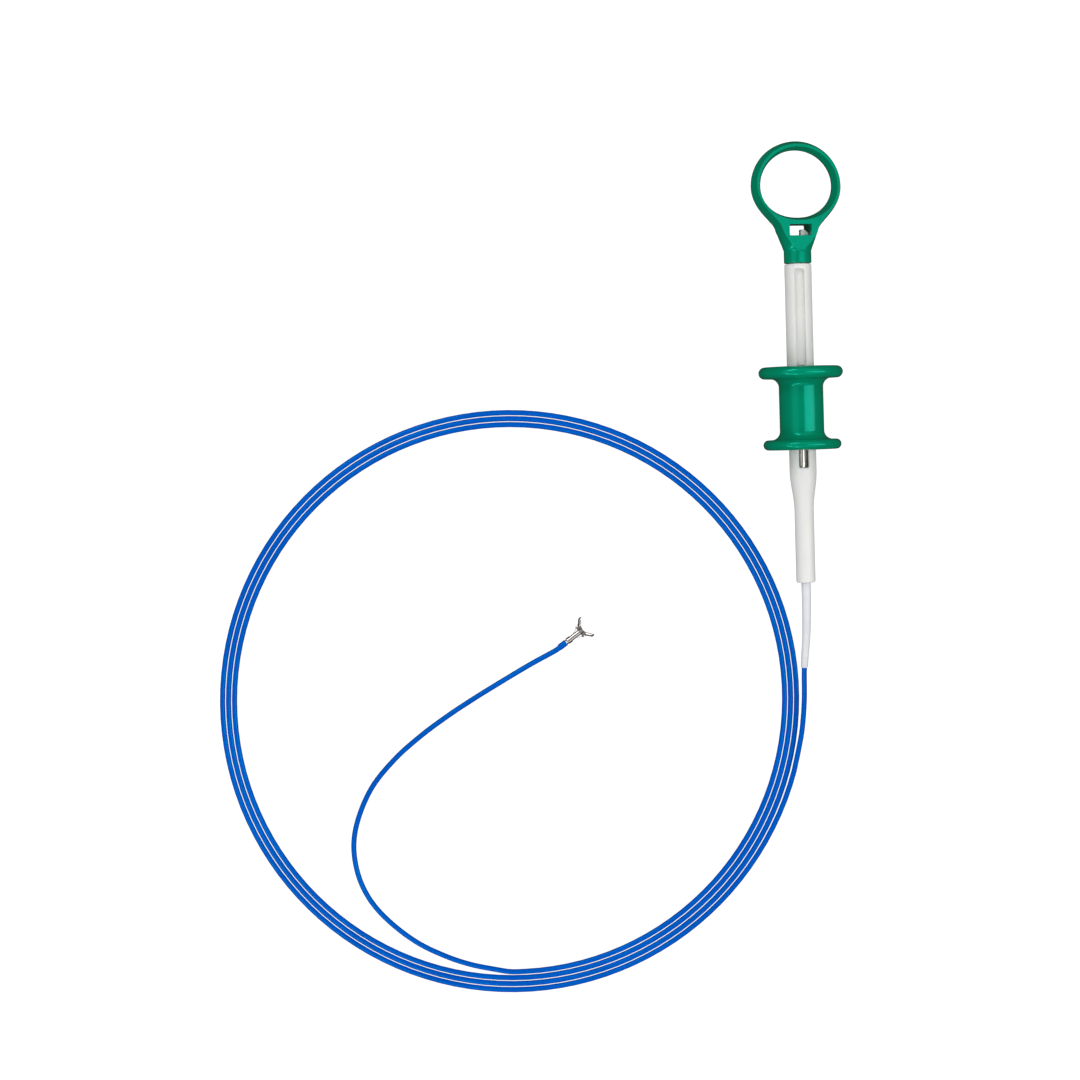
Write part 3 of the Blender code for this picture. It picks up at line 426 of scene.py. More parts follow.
print("faces within", round(math.degrees(FLAT_ANGLE), 1), "degrees of flat are merged")

# %% [markdown]
# ## Spool
# The spool is what two fingers pull: a waist between two thick rims, moulded in one gloss green
# piece. Its section is all arcs, a full round on each rim and a generous fillet down to the waist,
# so it is turned from a profile with many steps. Inside, a closed pocket holds the key.

# %% Spool
SHAFT_RADIUS = 5.3 * MM
RUNNING_GAP = 0.3 * MM
WAIST_RADIUS = 8.7 * MM
WAIST_FILLET = 3.4 * MM
KEY_START = 64.0 * MM
KEY_LENGTH = 9.0 * MM
KEY_HALF_WIDTH = 1.65 * MM
KEY_HEIGHT = 7.5 * MM


def spool_profile(count):
    end = SPOOL_START + SPOOL_LENGTH
    bore = SHAFT_RADIUS + RUNNING_GAP
    rear = REAR_RIM_WIDTH / 2
    front = FRONT_RIM_WIDTH / 2
    hollow = WAIST_RADIUS + WAIST_FILLET
    lip = 0.4 * MM
    profile = arc((bore + lip, end - lip), lip, 180, 90, 3)
    profile += arc((REAR_RIM_RADIUS - rear, end - rear), rear, 90, -90, 2 * count)
    profile += arc((hollow, end - REAR_RIM_WIDTH - WAIST_FILLET), WAIST_FILLET, 90, 180, count)
    profile += arc((hollow, SPOOL_START + FRONT_RIM_WIDTH + WAIST_FILLET), WAIST_FILLET, 180, 270, count)
    profile += arc((FRONT_RIM_RADIUS - front, SPOOL_START + front), front, 90, -90, 2 * count)
    profile += arc((bore + lip, SPOOL_START + lip), lip, -90, -180, 3)
    profile.append(profile[0])
    return profile


spool = turned("green_spool", spool_profile(12), 144)
pocket = block("pocket", (-KEY_HALF_WIDTH - RUNNING_GAP, -KEY_HEIGHT - RUNNING_GAP, KEY_START - RUNNING_GAP),
               (KEY_HALF_WIDTH + RUNNING_GAP, -WAIST_RADIUS / 2, KEY_START + KEY_LENGTH + RUNNING_GAP))
carve(spool, pocket)
dress(spool, "spool", "spool", "green_plastic", HANDLE)

# %% [markdown]
# ## Shaft
# The white shaft is a slotted barrel with a slim tail. The slot is shallow over the ring half, where
# its floor shows, and deep as far as the key travels, where the bright operating tube shows below
# the spool. Turning the barrel and then cutting rounded slots into it gives the same edges as the
# mould does.

# %% Shaft
TAIL_RADIUS = 3.8 * MM
TAIL_LENGTH = 28.5 * MM
SHAFT_SHOULDER = 44.3 * MM
TAIL_EDGE = 0.8 * MM
COLLAR_START = 125.6 * MM
SOCKET_RADIUS = 3.6 * MM
WINDOW_START = 136.3 * MM
SLOT_START = 45.3 * MM
SLOT_END = 123.4 * MM
SLOT_HALF_WIDTH = 2.0 * MM
SLOT_CORNER = 0.9 * MM
SLOT_FLOOR = 3.0 * MM
CHANNEL_HALF_WIDTH = 1.9 * MM
CHANNEL_END = 85.6 * MM
BORE_START = 10.4 * MM
BORE_RADIUS = 2.1 * MM
SEAT_RADIUS = 2.25 * MM


def shaft_profile():
    spigot = SOCKET_RADIUS - RUNNING_GAP
    shoulder = COLLAR_START - RUNNING_GAP
    profile = [(0.0, WINDOW_START - RUNNING_GAP), (spigot, WINDOW_START - RUNNING_GAP), (spigot, shoulder)]
    profile += arc((SHAFT_RADIUS - 0.3 * MM, shoulder - 0.3 * MM), 0.3 * MM, 90, 0, 4)
    steps = 20
    for index in range(steps + 1):
        part = index / steps
        blend = 0.5 + 0.5 * math.cos(math.pi * part)
        profile.append((TAIL_RADIUS + (SHAFT_RADIUS - TAIL_RADIUS) * blend,
                        SHAFT_SHOULDER + (TAIL_LENGTH - SHAFT_SHOULDER) * part))
    profile += arc((TAIL_RADIUS - TAIL_EDGE, TAIL_EDGE), TAIL_EDGE, 0, -90, 8)
    profile.append((0.0, 0.0))
    return profile


shaft = turned("white_shaft", shaft_profile(), 96)
above = SHAFT_RADIUS + 1.0 * MM
slot_outline = rounded_rectangle(-SLOT_HALF_WIDTH, SLOT_HALF_WIDTH, SLOT_START, SLOT_END, SLOT_CORNER, 8)
channel_start = SLOT_START + SLOT_HALF_WIDTH - CHANNEL_HALF_WIDTH
channel_outline = rounded_rectangle(-CHANNEL_HALF_WIDTH, CHANNEL_HALF_WIDTH, channel_start,
                                    CHANNEL_END + 0.02 * MM, SLOT_CORNER, 8)
carve(shaft,
      rod_between("bore", BORE_RADIUS, BORE_START - RUNNING_GAP / 2, CHANNEL_END, 64),
      rod_between("seat", SEAT_RADIUS, -1.0 * MM, BORE_START, 64),
      plate("slot", slot_outline, above - SLOT_FLOOR, -(above + SLOT_FLOOR) / 2),
      plate("channel", channel_outline, above, -above / 2))
soften(shaft, 0.12 * MM)
dress(shaft, "handle_shaft", "root", "white_plastic", HANDLE)

# %% [markdown]
# ## Thumb ring
# One green moulding: a ring whose section rises from both sides to a narrow crest, a neck with a flat
# shield-shaped face, a latch window and a round collar that takes the shaft. A plate is cut to the
# outline with its hole, chamfered on both faces. The crest is the strip left between the chamfers,
# and round the neck it runs on as the edge of the shield. The neck itself is lofted from the round
# collar up into the plate, so that the shield ends in a rounded point.

# %% Outline of the ring and its hole
COLLAR_RADIUS = 5.4 * MM
COLLAR_TOP = COLLAR_START + 4.9 * MM
WINDOW_HEIGHT = 4.4 * MM
WINDOW_WIDTH = 9.0 * MM
RING_HALF_WIDTH = 18.3 * MM
RING_HEIGHT = 17.45 * MM
RING_BAND = 3.5 * MM
RING_HALF_THICKNESS = 4.8 * MM
RING_SLIMMING = 0.23
RING_SIDE_WALL = 0.3 * MM
RING_CHAMFER = 1.2 * MM
RING_ROLL = math.radians(13.0)
HOLE_HALF_WIDTH = RING_HALF_WIDTH - RING_BAND
HOLE_FLOOR = WINDOW_START + WINDOW_HEIGHT + 2.75 * MM
RING_CENTRE = 155.8 * MM
SHIELD_POINT = COLLAR_TOP + 0.7 * MM
MARK_ACROSS = 7.6 * MM
MARK_HEIGHT = HOLE_FLOOR - 0.7 * MM
MARK_RADIUS = 0.75 * MM
MARK_DEPTH = 0.3 * MM


def bezier_loop(curve, knots, resolution):
    spline = curve.splines.new("BEZIER")
    spline.bezier_points.add(len(knots) - 1)
    spline.use_cyclic_u = True
    spline.resolution_u = resolution
    for point, (place, before, after) in zip(spline.bezier_points, knots):
        point.handle_left_type = "FREE"
        point.handle_right_type = "FREE"
        point.co = (*place, 0.0)
        point.handle_left = (place[0] + before[0], place[1] + before[1], 0.0)
        point.handle_right = (place[0] + after[0], place[1] + after[1], 0.0)


def mirrored_knots(top, right_knots, bottom):
    """Knots of a loop that is symmetric about x = 0, clockwise from the top."""
    knots = [top] + right_knots + [bottom]
    for place, before, after in reversed(right_knots):
        knots.append(((-place[0], place[1]), (-after[0], after[1]), (-before[0], before[1])))
    return knots


def ring_knots():
    top = ((0.0, RING_CENTRE + RING_HEIGHT), (-0.552 * RING_HALF_WIDTH, 0.0), (0.552 * RING_HALF_WIDTH, 0.0))
    side = ((RING_HALF_WIDTH, RING_CENTRE), (0.0, 0.552 * RING_HEIGHT), (0.0, -0.53 * RING_HEIGHT))
    neck = ((8.5 * MM, COLLAR_TOP + 8.0 * MM), (0.7 * MM, 3.6 * MM), (-0.55 * MM, -2.6 * MM))
    point = ((0.0, SHIELD_POINT - RING_CHAMFER), (3.6 * MM, 0.0), (-3.6 * MM, 0.0))
    return mirrored_knots(top, [side, neck], point)


def hole_knots():
    wide = HOLE_HALF_WIDTH
    high = RING_HEIGHT - RING_BAND
    top = ((0.0, RING_CENTRE + high), (-0.553 * wide, 0.0), (0.553 * wide, 0.0))
    side = ((wide, RING_CENTRE), (0.0, 0.55 * high), (0.0, -0.5 * high))
    bottom = ((0.0, HOLE_FLOOR), (0.61 * wide, 0.0), (-0.61 * wide, 0.0))
    return mirrored_knots(top, [side], bottom)


print("ring:", round(2 * RING_HALF_WIDTH / MM, 1), "mm wide")
print("its hole:", round(2 * HOLE_HALF_WIDTH / MM, 1), "mm wide")

# %% Ring blank
def ring_blank(resolution):
    """The chamfered plate, slimmer in depth from the hole's floor up."""
    curve = bpy.data.curves.new("ring_blank", "CURVE")
    curve.dimensions = "2D"
    curve.fill_mode = "BOTH"
    curve.extrude = RING_SIDE_WALL
    curve.bevel_depth = RING_CHAMFER
    curve.bevel_resolution = 0
    curve.offset = -RING_CHAMFER
    bezier_loop(curve, ring_knots(), resolution)
    bezier_loop(curve, hole_knots(), resolution)
    blank = bake(new_object("green_thumb_ring", curve))
    stretch = Matrix.Diagonal((1.0, 1.0, RING_HALF_THICKNESS / (RING_CHAMFER + RING_SIDE_WALL), 1.0))
    blank.data.transform(SIDEWAYS @ stretch)
    for vertex in blank.data.vertices:
        part = min(1.0, max(0.0, (vertex.co.z - HOLE_FLOOR) / HOLE_HALF_WIDTH))
        vertex.co.y *= 1.0 - RING_SLIMMING * part * part * (3.0 - 2.0 * part)
    return blank


ring = ring_blank(24)
print("ring blank:", len(ring.data.polygons), "faces")

# %% Neck
NECK_SECTIONS = (
    (5.39, 5.39, -0.5),
    (5.42, 5.2, 0.0),
    (5.75, 4.9, 0.7),
    (6.15, 5.4, 1.9),
    (6.8, 6.4, 3.6),
    (7.5, 7.6, 5.7),
    (8.0, 8.0, 7.1),
    (7.9, 6.5, 9.2),
    (7.2, 4.9, 11.0),
)


def lofted(name, sections, base, sides):
    """A closed skin over elliptical (half width, half depth, height) sections in millimetres."""
    shape = bmesh.new()
    rings = []
    for wide, deep, height in sections:
        corners = []
        for index in range(sides):
            angle = math.tau * index / sides
            place = (wide * MM * math.cos(angle), deep * MM * math.sin(angle), base + height * MM)
            corners.append(shape.verts.new(place))
        rings.append(corners)
    for lower, upper in zip(rings, rings[1:]):
        for index in range(sides):
            after = (index + 1) % sides
            shape.faces.new((lower[index], lower[after], upper[after], upper[index]))
    shape.faces.new(list(reversed(rings[0])))
    shape.faces.new(rings[-1])
    return solid_from(name, shape)


def smooth_sections(sections, count):
    """More sections on a smooth run through the given ones."""
    points = [Vector(section) for section in sections]
    spacing = sum((after - before).length for before, after in zip(points, points[1:])) / count
    return [tuple(point) for point in smooth_route(points, spacing)]


neck = lofted("neck", smooth_sections(NECK_SECTIONS, 32), COLLAR_TOP, 96)
neck_depth = RING_HALF_THICKNESS - 0.02 * MM
carve(neck, block("slab", (-RING_HALF_WIDTH, -neck_depth, COLLAR_TOP - 9.0 * MM),
                  (RING_HALF_WIDTH, neck_depth, RING_CENTRE)), operation="INTERSECT")
carve(ring, neck, operation="UNION")
roll = Matrix.Rotation(RING_ROLL, 4, "Z")
ring.data.transform(roll)
print("ring with its neck:", len(ring.data.polygons), "faces")


# %% Collar, socket and window
def collar_profile():
    edge = 0.5 * MM
    profile = [(0.0, COLLAR_TOP)]
    profile += arc((COLLAR_RADIUS - edge, COLLAR_TOP - edge), edge, 90, 0, 6)
    profile += arc((COLLAR_RADIUS - edge, COLLAR_START + edge), edge, 0, -90, 6)
    profile.append((0.0, COLLAR_START))
    return profile


window_outline = rounded_rectangle(-WINDOW_WIDTH / 2, WINDOW_WIDTH / 2, WINDOW_START,
                                   WINDOW_START + WINDOW_HEIGHT, 0.4 * MM, 4)
window = plate("window", window_outline, 4 * RING_HALF_THICKNESS)
window.data.transform(roll)
mark_place = roll @ Matrix.Translation((MARK_ACROSS, 0.0, MARK_HEIGHT)) @ SIDEWAYS
ejector_mark = rod_between("ejector_mark", MARK_RADIUS, RING_HALF_THICKNESS - MARK_DEPTH,
                           RING_HALF_THICKNESS + 1.0 * MM, 32, mark_place)
carve(ring, turned("collar", collar_profile(), 96), operation="UNION")
carve(ring, rod_between("socket", SOCKET_RADIUS, COLLAR_START - 1.0 * MM, WINDOW_START + 0.5 * MM, 64),
      window, ejector_mark)
soften(ring, 0.3 * MM, 3, 30.0)
dress(ring, "thumb_ring", "root", "green_plastic", HANDLE, 42.0)

# %% Latch finger
LATCH_HEIGHT = 2.5 * MM
LATCH_THICKNESS = 2.4 * MM


def latch_outline():
    finger = SOCKET_RADIUS - RUNNING_GAP
    hook = finger + RUNNING_GAP + 0.7 * MM
    ledge = WINDOW_START + RUNNING_GAP
    top = WINDOW_START + LATCH_HEIGHT
    return [(finger * 0.35, WINDOW_START - LATCH_HEIGHT), (finger * 0.35, top), (finger * 0.8, top),
            (hook, ledge + 0.9 * MM), (hook, ledge), (finger * 0.93, ledge),
            (finger * 0.93, WINDOW_START - LATCH_HEIGHT)]


latch = plate("white_latch", latch_outline(), LATCH_THICKNESS)
latch.data.transform(roll)
soften(latch, 0.15 * MM, 3)
latch.data.transform(HANDLE)
shade(latch, 35.0)
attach(latch, "root")
print("latch:", len(latch.data.polygons), "faces")

# %% [markdown]
# ## Operating tube, key, screw and gland
# A steel tube stiffens the pull wire inside the barrel, and a brass key through the slot joins it to
# the spool. Only the tube shows, below the spool, so it gets a finer surface. The others keep their
# own solids and take a metal finish later.

# %% Operating tube
TUBE_RADIUS = 1.7 * MM
TUBE_BORE = 0.75 * MM
TUBE_START = 22.0 * MM
TUBE_EDGE = 0.15 * MM


def tube_profile(outer, inner, low, high, edge, count):
    profile = arc((outer - edge, high - edge), edge, 90, 0, count)
    profile += arc((outer - edge, low + edge), edge, 0, -90, count)
    profile += [(inner, low), (inner, high), profile[0]]
    return profile


tube_section = tube_profile(TUBE_RADIUS, TUBE_BORE, TUBE_START, KEY_START - RUNNING_GAP, TUBE_EDGE, 3)
operating_tube = turned("steel_operating_tube", tube_section, 72)
dress(operating_tube, "operating_tube", "spool", "steel", HANDLE)

# %% [markdown]
# ## Strain relief
# A soft white sleeve grips the sheath where it leaves the handle and thins towards its mouth, so the
# bend starts gently. It follows the same route as the sheath inside it, as a tapered tube with a
# bore, and its mouth is rounded as cut tubing is.

# %% Strain relief sleeve
SLEEVE_ROOT_RADIUS = 1.925 * MM
SLEEVE_MOUTH_RADIUS = 1.45 * MM
SLEEVE_BORE = 1.1 * MM
SLEEVE_SPACING = 1.6 * MM
SLEEVE_TAPER = 1.5

mouth = lead[SLEEVE_MOUTH_INDEX + 2]
sleeve_path = [place for place in smooth_route(lead, SLEEVE_SPACING) if place.y >= mouth.y - WELD]
travelled = [0.0]
for before, after in zip(sleeve_path, sleeve_path[1:]):
    travelled.append(travelled[-1] + (after - before).length)
narrowing = SLEEVE_MOUTH_RADIUS - SLEEVE_ROOT_RADIUS
radii = [SLEEVE_ROOT_RADIUS + narrowing * (distance / travelled[-1]) ** SLEEVE_TAPER
         for distance in travelled]
sleeve = bake(tube_curve("white_sleeve", sleeve_path, radii, 14))
past_root = sleeve_path[0] * 2 - sleeve_path[1]
past_mouth = sleeve_path[-1] * 2 - sleeve_path[-2]
carve(sleeve, bake(even_tube("sleeve_bore", [past_root] + sleeve_path + [past_mouth], SLEEVE_BORE, 8)))
soften(sleeve, 0.08 * MM, 2, 50.0)
dress(sleeve, "strain_relief", "root", "sleeve_plastic", Matrix())

# %% [markdown]
# ## Clevis
# The steel clevis carries everything at the tip. It is turned bar: a round base that takes the
# winding, shoulders that step in to two ears, flats milled across the ears, a slot for the jaws, and
# five round weld marks round the base. The same steps are cut here in the same order.

# %% Clevis blank
CLEVIS_RADIUS = 1.3 * MM
CLEVIS_TOP = 7.67 * MM
EAR_HALF_WIDTH = 1.025 * MM
EAR_CORNER = 0.27 * MM
SHOULDER_LOW = 1.43 * MM
SHOULDER_HIGH = 1.98 * MM
EAR_GAP = 0.66 * MM
EAR_GAP_START = 1.9 * MM
EAR_FLAT = 1.05 * MM
MILL_RADIUS = 1.62 * MM
CLEVIS_BORE = 0.7 * MM
SPRING_SEAT_DEPTH = 0.9 * MM
SPRING_RADIUS = 1.1 * MM
FIT_GAP = 0.02 * MM
PIVOT_HEIGHT = 6.86 * MM
PIN_RADIUS = 0.2 * MM
FAR = 2.3 * MM


def ear_outline():
    corner = (EAR_HALF_WIDTH - EAR_CORNER, CLEVIS_TOP - EAR_CORNER)
    half = arc(corner, EAR_CORNER, 90, 0, 6)
    half += [(EAR_HALF_WIDTH, SHOULDER_HIGH), (FAR, SHOULDER_LOW - 2 * (FAR - CLEVIS_RADIUS)), (FAR, -FAR)]
    return half + [(-across, along) for across, along in reversed(half)]


def clevis_blank():
    edge = 0.12 * MM
    profile = [(0.0, CLEVIS_TOP + FAR), (CLEVIS_RADIUS, CLEVIS_TOP + FAR)]
    profile += arc((CLEVIS_RADIUS - edge, edge), edge, 0, -90, 4)
    profile.append((0.0, 0.0))
    return turned("steel_clevis", profile, 80)


clevis = clevis_blank()
carve(clevis, plate("ears", ear_outline(), 2 * FAR), operation="INTERSECT")
carve(clevis, block("gap", (-FAR, -EAR_GAP, EAR_GAP_START), (FAR, EAR_GAP, CLEVIS_TOP + 2 * FAR)))
print("clevis blank:", len(clevis.data.polygons), "faces")

# %% Bores, flats and weld marks of the clevis
WELD_MARKS = 5
WELD_MARK_RADIUS = 0.17 * MM
WELD_MARK_HEIGHT = 0.5 * MM
WELD_MARK_TURN = math.pi / 2 + math.radians(36.0)
WELD_MARK_OUT = CLEVIS_RADIUS + WELD_MARK_RADIUS * 0.55
RELIEF_TOP = EAR_GAP_START + 0.1 * MM
RELIEF_TOP_HALF = 0.98 * MM
RELIEF_FOOT = 0.6 * MM
RELIEF_FOOT_HALF = 0.62 * MM
RELIEF_DEPTH = 0.84 * MM

relief_outline = [(-RELIEF_TOP_HALF, RELIEF_TOP), (RELIEF_TOP_HALF, RELIEF_TOP),
                  (RELIEF_FOOT_HALF, RELIEF_FOOT), (-RELIEF_FOOT_HALF, RELIEF_FOOT)]
link_relief = plate("link_relief", relief_outline, RELIEF_DEPTH)
carve(clevis,
      rod_between("bore", CLEVIS_BORE, SPRING_SEAT_DEPTH / 2, EAR_GAP_START + 0.3 * MM, 40),
      rod_between("spring_seat", SPRING_RADIUS + FIT_GAP, -1.0 * MM, SPRING_SEAT_DEPTH, 64),
      link_relief)
for facing in (1, -1):
    turn = Matrix.Translation((0.0, 0.0, CLEVIS_TOP)) @ Matrix.Rotation(facing * math.pi / 2, 4, "X")
    carve(clevis, rod_between("mill", MILL_RADIUS, EAR_FLAT, EAR_FLAT + 1.0 * MM, 64, turn))
pivot_turn = Matrix.Translation((0.0, 0.0, PIVOT_HEIGHT)) @ SIDEWAYS
carve(clevis, rod_between("pin_hole", PIN_RADIUS + FIT_GAP, -FAR, FAR, 32, pivot_turn))


def weld_marks():
    shape = bmesh.new()
    for number in range(WELD_MARKS):
        angle = WELD_MARK_TURN + math.tau * number / WELD_MARKS
        across = WELD_MARK_OUT * math.cos(angle)
        deep = WELD_MARK_OUT * math.sin(angle)
        place = Matrix.Translation((across, deep, WELD_MARK_HEIGHT))
        bmesh.ops.create_uvsphere(shape, u_segments=20, v_segments=12, radius=WELD_MARK_RADIUS, matrix=place)
    return solid_from("weld_marks", shape)


carve(clevis, weld_marks())
soften(clevis, 0.03 * MM, 2, 45.0)
dress(clevis, "clevis", "root", "steel", TIP)

# %% [markdown]
# ## Jaws
# Each jaw is a half-round cup on a flat plate, with an eye for the pivot and a lever behind it. The
# two jaws are the same part turned over: one plate lies in front of the other, and the levers cross.
# The cup is a round-ended tube spun a little past half way, thickened inwards, and cut off flat on
# the seam where it meets its twin. The plate joins it as one outline, a belt round three circles.

# %% Shape of one jaw
JAW_OPEN = math.radians(52.0)
CUP_RADIUS = 1.25 * MM
CUP_WALL = 0.22 * MM
CUP_HEEL = 2.0 * MM
CUP_TIP = 5.55 * MM
CUP_SEAM = 0.015 * MM
CUP_SWEEP = math.radians(208.0)
PLATE_THICKNESS = 0.35 * MM
EYE_RADIUS = 0.72 * MM
FIN_CENTRE = (0.92 * MM, 2.35 * MM)
FIN_RADIUS = 0.62 * MM
LEVER_LENGTH = 2.35 * MM
LEVER_ANGLE = math.radians(159.5)
LEVER_END_RADIUS = 0.43 * MM
LEVER_HOLE = 0.19 * MM
LEVER_PLACE = (-LEVER_LENGTH * math.sin(LEVER_ANGLE), LEVER_LENGTH * math.cos(LEVER_ANGLE))


def left_normal(here, after):
    along = Vector(after[0]) - Vector(here[0])
    return math.atan2(along.y, along.x) + math.acos((here[1] - after[1]) / along.length)


def belt(circles, count):
    """Outline of a belt run clockwise round (centre, radius) circles."""
    points = []
    for index, here in enumerate(circles):
        start = left_normal(circles[index - 1], here)
        sweep = (start - left_normal(here, circles[(index + 1) % len(circles)])) % math.tau
        if sweep > 1.8 * math.pi:
            sweep -= math.tau
        steps = max(1, math.ceil(abs(sweep) / math.tau * count))
        for step in range(steps + 1):
            angle = start - sweep * step / steps
            points.append((here[0][0] + here[1] * math.cos(angle), here[0][1] + here[1] * math.sin(angle)))
    return points


def cup(name):
    """Half of a round-ended tube, thickened inwards and trimmed flat along the seam."""
    profile = arc((0.0, CUP_TIP - CUP_RADIUS), CUP_RADIUS, 90, 0, 12) + [(CUP_RADIUS, CUP_HEEL)]
    profile[0] = (0.0, CUP_TIP)
    shell = turned(name, profile, 40, CUP_SWEEP)
    wall = shell.modifiers.new("wall", "SOLIDIFY")
    wall.thickness = CUP_WALL
    wall.offset = -1.0
    bake(shell)
    return carve(shell, block("seam", (-FAR - 1.0 * MM, -FAR, -FAR), (CUP_SEAM, FAR, CUP_TIP + FAR)))


print("jaw:", round(CUP_TIP / MM, 2), "mm from pivot to tip, lever:", round(LEVER_LENGTH / MM, 2), "mm")

# %% Two jaws, one turned over
def jaw(name):
    solid = cup(name)
    eye = ((0.0, 0.0), EYE_RADIUS)
    outline = belt([(FIN_CENTRE, FIN_RADIUS), eye, (LEVER_PLACE, LEVER_END_RADIUS), eye], 48)
    middle = -(CUP_SEAM + PLATE_THICKNESS / 2)
    carve(solid, plate("jaw_plate", outline, PLATE_THICKNESS, middle), operation="UNION")
    lever_turn = Matrix.Translation((LEVER_PLACE[0], 0.0, LEVER_PLACE[1])) @ SIDEWAYS
    carve(solid,
          rod_between("eye", PIN_RADIUS + 0.03 * MM, -CUP_RADIUS, CUP_RADIUS, 32, SIDEWAYS),
          rod_between("lever_hole", LEVER_HOLE, -CUP_RADIUS, CUP_RADIUS, 24, lever_turn))
    return soften(solid, 0.025 * MM, 2, 50.0)


for name, side in (("right_jaw", 0.0), ("left_jaw", math.pi)):
    placed = (Matrix.Translation((0.0, 0.0, PIVOT_HEIGHT)) @ Matrix.Rotation(side, 4, "Z")
              @ Matrix.Rotation(JAW_OPEN, 4, "Y"))
    dress(jaw("steel_" + name), name, name, "steel", TIP @ placed)

# %% [markdown]
# ## Links, block, pin and winding
# A bent wire hooks through each lever and runs down into the clevis, where a forked block pulls
# both. The wires are curves with a round section, finer than the solids that stand in for them. The
# winding is the sheath's own steel coil, bare for two turns between the clevis and the blue collar.

# %% Bent wire links
LINK_RADIUS = 0.12 * MM
LINK_FOOT = 0.35 * MM
LINK_FOOT_LAYER = 0.13 * MM
LINK_FOOT_HEIGHT = 2.2 * MM
LINK_BEND = 0.2 * MM
LINK_CRANK_START = 1.3 * MM
LINK_CRANK_LENGTH = 1.8 * MM
LINK_CRANK_STEPS = 12

open_angle = JAW_OPEN - LEVER_ANGLE
hook_place = (LEVER_LENGTH * math.sin(open_angle), PIVOT_HEIGHT + LEVER_LENGTH * math.cos(open_angle))
reach = Vector((-LINK_FOOT - hook_place[0], LINK_FOOT_HEIGHT - hook_place[1]))
link_lean = math.atan2(reach.x, -reach.y)


def link_points():
    """Distance along the wire and its layer, from the hook to the foot."""
    layer = CUP_SEAM + PLATE_THICKNESS + LINK_RADIUS + FIT_GAP
    points = [(0.0, -LINK_RADIUS), (0.0, layer - LINK_BEND)]
    for step in range(1, 7):
        angle = math.radians(15.0 * step)
        down = LINK_BEND - LINK_BEND * math.cos(angle)
        points.append((down, layer - LINK_BEND + LINK_BEND * math.sin(angle)))
    for step in range(LINK_CRANK_STEPS + 1):
        part = step / LINK_CRANK_STEPS
        blend = 0.5 - 0.5 * math.cos(math.pi * part)
        points.append((LINK_CRANK_START + LINK_CRANK_LENGTH * part,
                       layer + (LINK_FOOT_LAYER - layer) * blend))
    points.append((reach.length, LINK_FOOT_LAYER))
    return [Vector((0.0, -height, -distance)) for distance, height in points]


for name, side in (("right_link", 0.0), ("left_link", math.pi)):
    wire = bake(even_tube("steel_" + name, link_points(), LINK_RADIUS, 6))
    placed = (Matrix.Rotation(side, 4, "Z") @ Matrix.Translation((hook_place[0], 0.0, hook_place[1]))
              @ Matrix.Rotation(-link_lean, 4, "Y"))
    dress(wire, name, name, "steel", TIP @ placed, 60.0)

# %% Pull block
BLOCK_RADIUS = 0.625 * MM
BLOCK_START = 0.9 * MM
BLOCK_LENGTH = 1.85 * MM
FORK_HALF_GAP = 0.28 * MM
FORK_DEPTH = 1.03 * MM
BLOCK_EDGE = 0.08 * MM

block_top = BLOCK_START + BLOCK_LENGTH
block_profile = [(0.0, block_top)]
block_profile += arc((BLOCK_RADIUS - BLOCK_EDGE, block_top - BLOCK_EDGE), BLOCK_EDGE, 90, 0, 4)
block_profile += arc((BLOCK_RADIUS - BLOCK_EDGE, BLOCK_START + BLOCK_EDGE), BLOCK_EDGE, 0, -90, 4)
block_profile.append((0.0, BLOCK_START))
pull_block = turned("steel_pull_block", block_profile, 48)
carve(pull_block, block("fork", (-FAR, -FORK_HALF_GAP, block_top - FORK_DEPTH),
                        (FAR, FORK_HALF_GAP, block_top + FAR)))
dress(pull_block, "pull_block", "pull_block", "steel", TIP)

# %% Pivot pin
DIMPLE_RADIUS = 0.13 * MM
DIMPLE_DEPTH = 0.1 * MM
PIN_EDGE = 0.02 * MM

pin_half = [(0.0, EAR_FLAT - DIMPLE_DEPTH), (DIMPLE_RADIUS, EAR_FLAT - DIMPLE_DEPTH * 0.6),
            (DIMPLE_RADIUS + PIN_EDGE, EAR_FLAT)]
pin_half += arc((PIN_RADIUS - PIN_EDGE, EAR_FLAT - PIN_EDGE), PIN_EDGE, 90, 0, 3)
pin_profile = pin_half + [(radius, -height) for radius, height in reversed(pin_half)]
pivot_pin = turned("steel_pivot_pin", pin_profile, 40)
pivot_pin.matrix_world = pivot_turn
dress(pivot_pin, "pivot_pin", "root", "steel", TIP)

# %% Bare end of the winding
SPRING_WIRE = 0.42 * MM
SPRING_PITCH = 0.44 * MM
SPRING_TURNS = 7.5
SPRING_TOP = 0.55 * MM
WINDING_STEPS = 36

winding_radius = SPRING_RADIUS - SPRING_WIRE / 2
winding_points = []
for index in range(round(SPRING_TURNS * WINDING_STEPS) + 1):
    angle = math.tau * index / WINDING_STEPS
    winding_points.append(Vector((winding_radius * math.cos(angle), winding_radius * math.sin(angle),
                                  SPRING_TOP - SPRING_PITCH * index / WINDING_STEPS)))
winding = bake(even_tube("steel_winding", winding_points, SPRING_WIRE / 2, 4))
dress(winding, "sheath_winding", "root", "steel", TIP, 60.0)

# %% Blue collar at the tip
COLLAR_OUTER = 1.28 * MM
COLLAR_BORE = 1.13 * MM
TIP_COLLAR_LENGTH = 3.3 * MM
collar_section = tube_profile(COLLAR_OUTER, COLLAR_BORE, TIP_COLLAR_TOP - TIP_COLLAR_LENGTH,
                              TIP_COLLAR_TOP, 0.07 * MM, 4)
tip_collar = turned("blue_collar", collar_section, 64)
dress(tip_collar, "tip_collar", "root", "blue_sheath", TIP)

